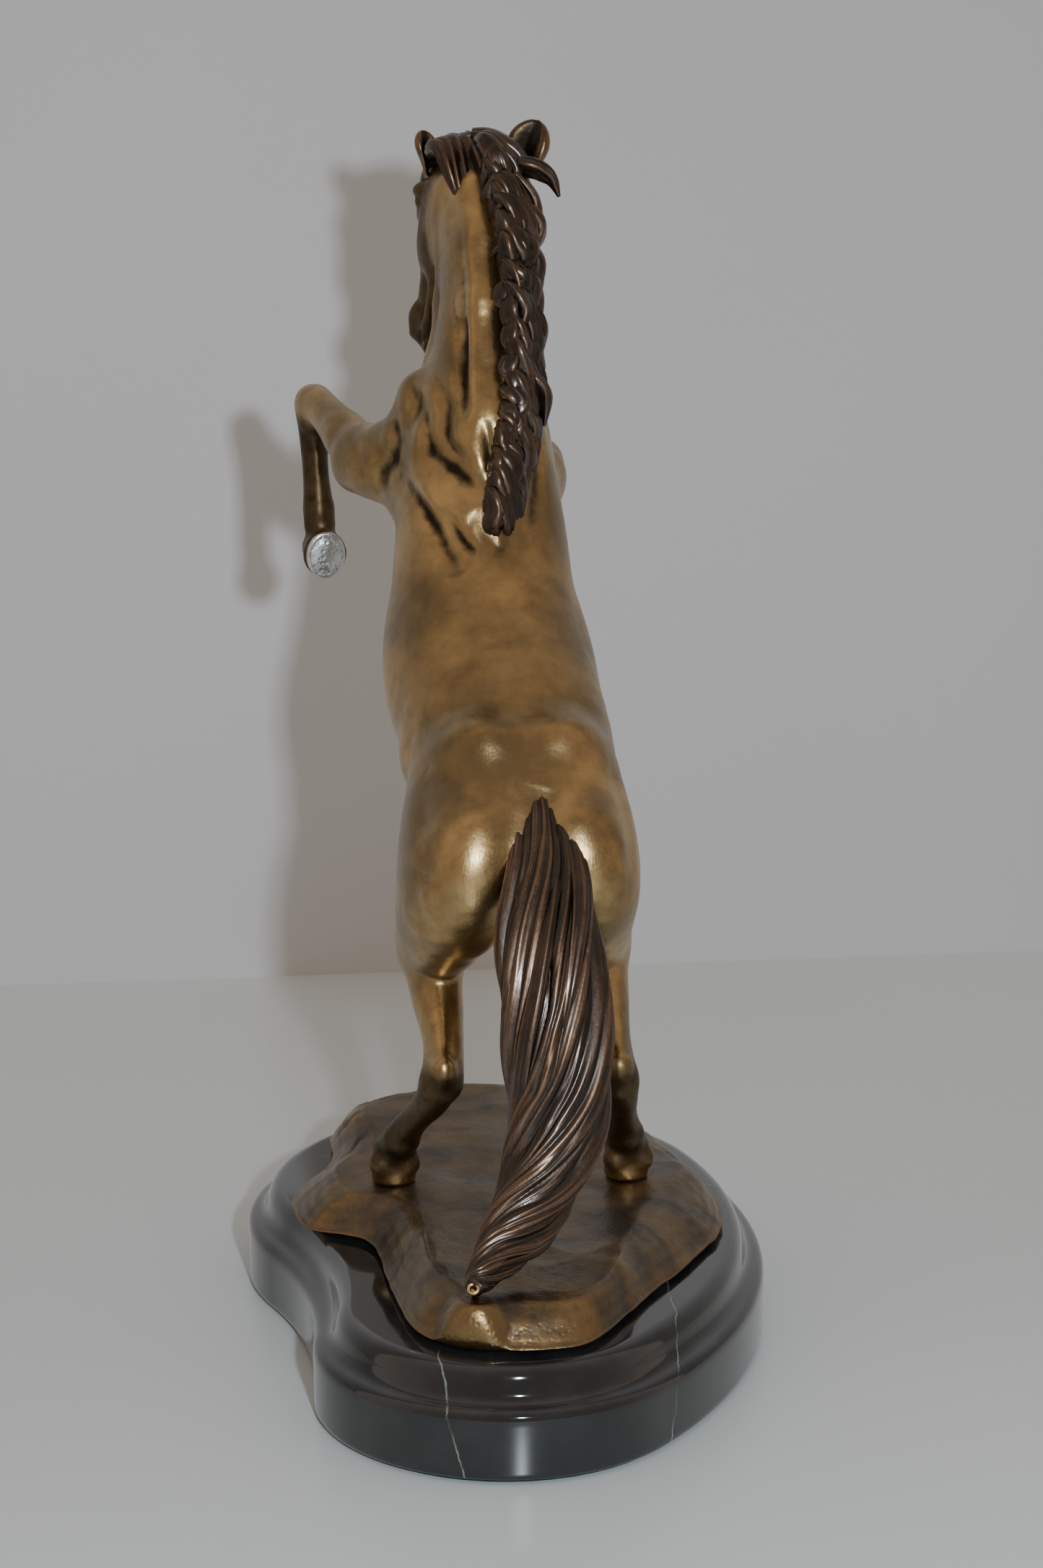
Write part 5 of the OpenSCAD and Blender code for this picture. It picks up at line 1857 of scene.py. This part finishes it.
@dataclass
class Studio:
    """A pale floor and wall, a lamp and the camera."""

    wall_at: float = -0.487
    camera_at: tuple[float, float, float] = (-0.010, 0.966, 0.400)
    camera_tilt: float = 78.3
    lens: float = 65.7
    size: tuple[int, int] = (1445, 2173)

    def sheet(self, name: str, corners: Array, low: Colour, high: Colour, roughness: float,
              clear_behind: bool = False) -> bpy.types.Object:
        """A flat sheet of the setting with a faintly uneven tone.

        Args:
            name: its name.
            corners: four points.
            low, high: its tones.
            roughness: of its surface.
            clear_behind: whether it can be seen through from its back.

        Returns:
            The object.
        """
        mesh = bpy.data.meshes.new(name)
        mesh.from_pydata([tuple(c) for c in corners], [], [(0, 1, 2, 3)])
        material, net, skin = blank(name)
        value = net.noise(net.node("TexCoord").outputs["Object"], 1.2, 3)
        net.link(net.blend(net.span(value, 0.3, 0.7), low, high), skin.inputs["Base Color"])
        skin.inputs["Roughness"].default_value = roughness
        if clear_behind:
            behind = net.node("NewGeometry").outputs["Backfacing"]
            seen = net.node("MixShader", i0=behind, i1=skin.outputs[0],
                            i2=net.node("BsdfTransparent").outputs[0]).outputs[0]
            net.link(seen, net.tree.nodes["Material Output"].inputs["Surface"])
        mesh.materials.append(material)
        obj = bpy.data.objects.new(name, mesh)
        bpy.context.scene.collection.objects.link(obj)
        return obj

    def lamp(self, name: str, at: Sequence[float], aim: Sequence[float], size: tuple[float, float],
             power: float, colour: Colour) -> None:
        """An area lamp that looks at a point.

        Args:
            name: its name.
            at, aim: where it hangs and what it lights.
            size: width and height.
            power: in watts.
            colour: of its light.
        """
        data = bpy.data.lights.new(name, "AREA")
        data.shape = "RECTANGLE"
        data.size, data.size_y = size
        data.energy, data.color = power, colour
        obj = bpy.data.objects.new(name, data)
        obj.location = at
        away = np.array(at, float) - np.array(aim, float)
        flat = math.hypot(away[0], away[1])
        obj.rotation_euler = (math.atan2(flat, away[2]), 0, math.atan2(away[1], away[0]) + math.pi / 2)
        bpy.context.scene.collection.objects.link(obj)

    def wall_line(self, x: float) -> float:
        """Where the wall stands at x: it is a little askew."""
        return self.wall_at + 0.127 * x

    def build(self) -> None:
        """Makes the setting, the lamp, the world and the camera."""
        back = self.wall_line
        self.sheet("floor", np.array([(-3, back(-3) - 0.3, 0), (3, back(3) - 0.3, 0), (3, 3, 0), (-3, 3, 0)]),
                   (0.69, 0.75, 0.76), (0.75, 0.81, 0.82), 0.27)
        self.sheet("wall", np.array([(-3, back(-3), -0.01), (-3, back(-3), 3), (3, back(3), 3),
                                     (3, back(3), -0.01)]),
                   (0.68, 0.68, 0.70), (0.73, 0.73, 0.75), 0.8, clear_behind=True)
        self.lamp("flash", (-0.14, 0.95, 0.45), (-0.01, 0, 0.2), (0.035, 0.035), 6.8, (0.80, 0.90, 1.0))
        world = bpy.data.worlds.new("studio")
        world.use_nodes = True
        net = Net(world.node_tree)
        shade = world.node_tree.nodes["Background"]
        way = net.node("SeparateXYZ", Vector=net.node("TexCoord").outputs["Generated"]).outputs
        room = net.span(net.plus(way[1], net.times(way[0], -0.25)), -0.2, 0.95)
        net.link(net.blend(room, (0.66, 0.545, 0.455), (0.34, 0.275, 0.22)), shade.inputs[0])
        shade.inputs[1].default_value = 1.0
        scene = bpy.context.scene
        scene.world = world
        data = bpy.data.cameras.new("camera")
        data.lens, data.sensor_width = self.lens, 36
        obj = bpy.data.objects.new("camera", data)
        obj.location, obj.rotation_euler = self.camera_at, (math.radians(self.camera_tilt), 0, math.pi)
        scene.collection.objects.link(obj)
        scene.camera = obj
        scene.render.resolution_x, scene.render.resolution_y = self.size


# ---------------------------------------------------------------- everything


GOLDEN = Bronze("golden_bronze", (0.56, 0.375, 0.170), (0.235, 0.168, 0.084), (0.034, 0.025, 0.018), rub=0.36,
                cover=0.92, patches=24.0, bump=0.14, rougher=0.04)
DARK = Bronze("dark_bronze", (0.34, 0.20, 0.10), (0.12, 0.08, 0.05), (0.035, 0.026, 0.020), rub=0.7,
              patches=60.0, bump=0.2, coat=0.3)
HAIR = Bronze("hair_bronze", (0.31, 0.180, 0.105), (0.100, 0.070, 0.052), (0.028, 0.022, 0.019), rub=0.50,
              patches=55.0, bump=0.12, coat=0.5)
GROUND = Bronze("brown_bronze", (0.32, 0.205, 0.085), (0.118, 0.095, 0.070), (0.056, 0.047, 0.038), rub=0.52,
                patches=38.0, bump=0.24,
                brushed=False, rougher=0.08, film=0.14, coat=0.15)
SOLE = Bronze("sole_metal", (0.75, 0.75, 0.75), (0.52, 0.52, 0.52), (0.18, 0.175, 0.17), rub=0.6,
              patches=160.0, bump=0.3, brushed=False)
PIN = Bronze("brass_pin", (0.75, 0.56, 0.27), (0.60, 0.43, 0.19), (0.1, 0.06, 0.02), rub=0.5, patches=200.0,
             bump=0.1, shaded=False)


FELT = Plain("green_felt", (0.01, 0.03, 0.015), (0.02, 0.07, 0.035), 0.0, (0.85, 1.0), 1600.0, 0.6)
STEEL = Plain("steel", (0.38, 0.39, 0.40), (0.55, 0.56, 0.58), 1.0, (0.25, 0.45))
ROD = Plain("rod_brass", (0.50, 0.36, 0.14), (0.68, 0.50, 0.22), 1.0, (0.25, 0.4))
HIDDEN_NODES = (
    (FELT, ("felt_pad",)),
    (STEEL, ("hoof_studs", "hoof_nuts", "base_bolts", "base_washers")),
    (ROD, ("poll_dowel", "leg_dowels", "tail_dowel")),
)
# each ear's name, its root and tip from the poll, the way it opens and its half width
EARS = (
    ("left_ear", (13.5, -9, 8), (16.5, -7, 25.5), (-0.55, 0.8, 0.1), 4.6),
    ("right_ear", (-15.5, -5, 1), (-27, 1, 29), (0.45, 0.9, 0.1), 8.2),
)


def dress_hidden_nodes() -> None:
    """Gives their finishes to the CAD nodes that no piece replaces."""
    for finish, nodes in HIDDEN_NODES:
        material = finish.make()
        for name in nodes:
            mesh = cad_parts[name].data
            mesh.materials.clear()
            mesh.materials.append(material)


def main() -> None:
    logging.basicConfig(level=logging.INFO, format="%(name)s %(message)s")
    effects = Effects()
    golden, dark, hair, ground = (b.make(effects) for b in (GOLDEN, DARK, HAIR, GROUND))
    sole, pin, marble = SOLE.make(effects), PIN.make(effects), Stone().make(effects)
    horse = Horse()
    for piece in horse.pieces():
        piece.build(golden, Slot.GOLDEN, (piece.name,))
    tufts = Hair()
    for piece in (tufts.tail(), tufts.mane(), tufts.forelock(horse)):
        piece.build(hair, Slot.DARK, (piece.name,))
    poll = np.array(POLL_JOINT[:3])
    for label, root, tip, opens, radius in EARS:
        tufts.ear(label, poll + root, poll + tip, np.array(opens), radius).build(dark, Slot.DARK)
    Ground().piece().build(ground, Slot.GROUND, ("ground_casting",))
    Plinth().piece().build(marble, Slot.MARBLE, ("marble_base",))
    small = SmallParts()
    for name, at, yaw in (("left_fore_sole", horse.left_sole, LEFT_SOLE_YAW),
                          ("right_fore_sole", horse.right_sole, RIGHT_SOLE_YAW)):
        small.sole(name, at, yaw).build(sole, Slot.SOLE, (name,))
    small.ring().build(pin, Slot.PIN, ("tail_pin",))
    dress_hidden_nodes()
    Studio().build()


if __name__ == "__main__":
    main()
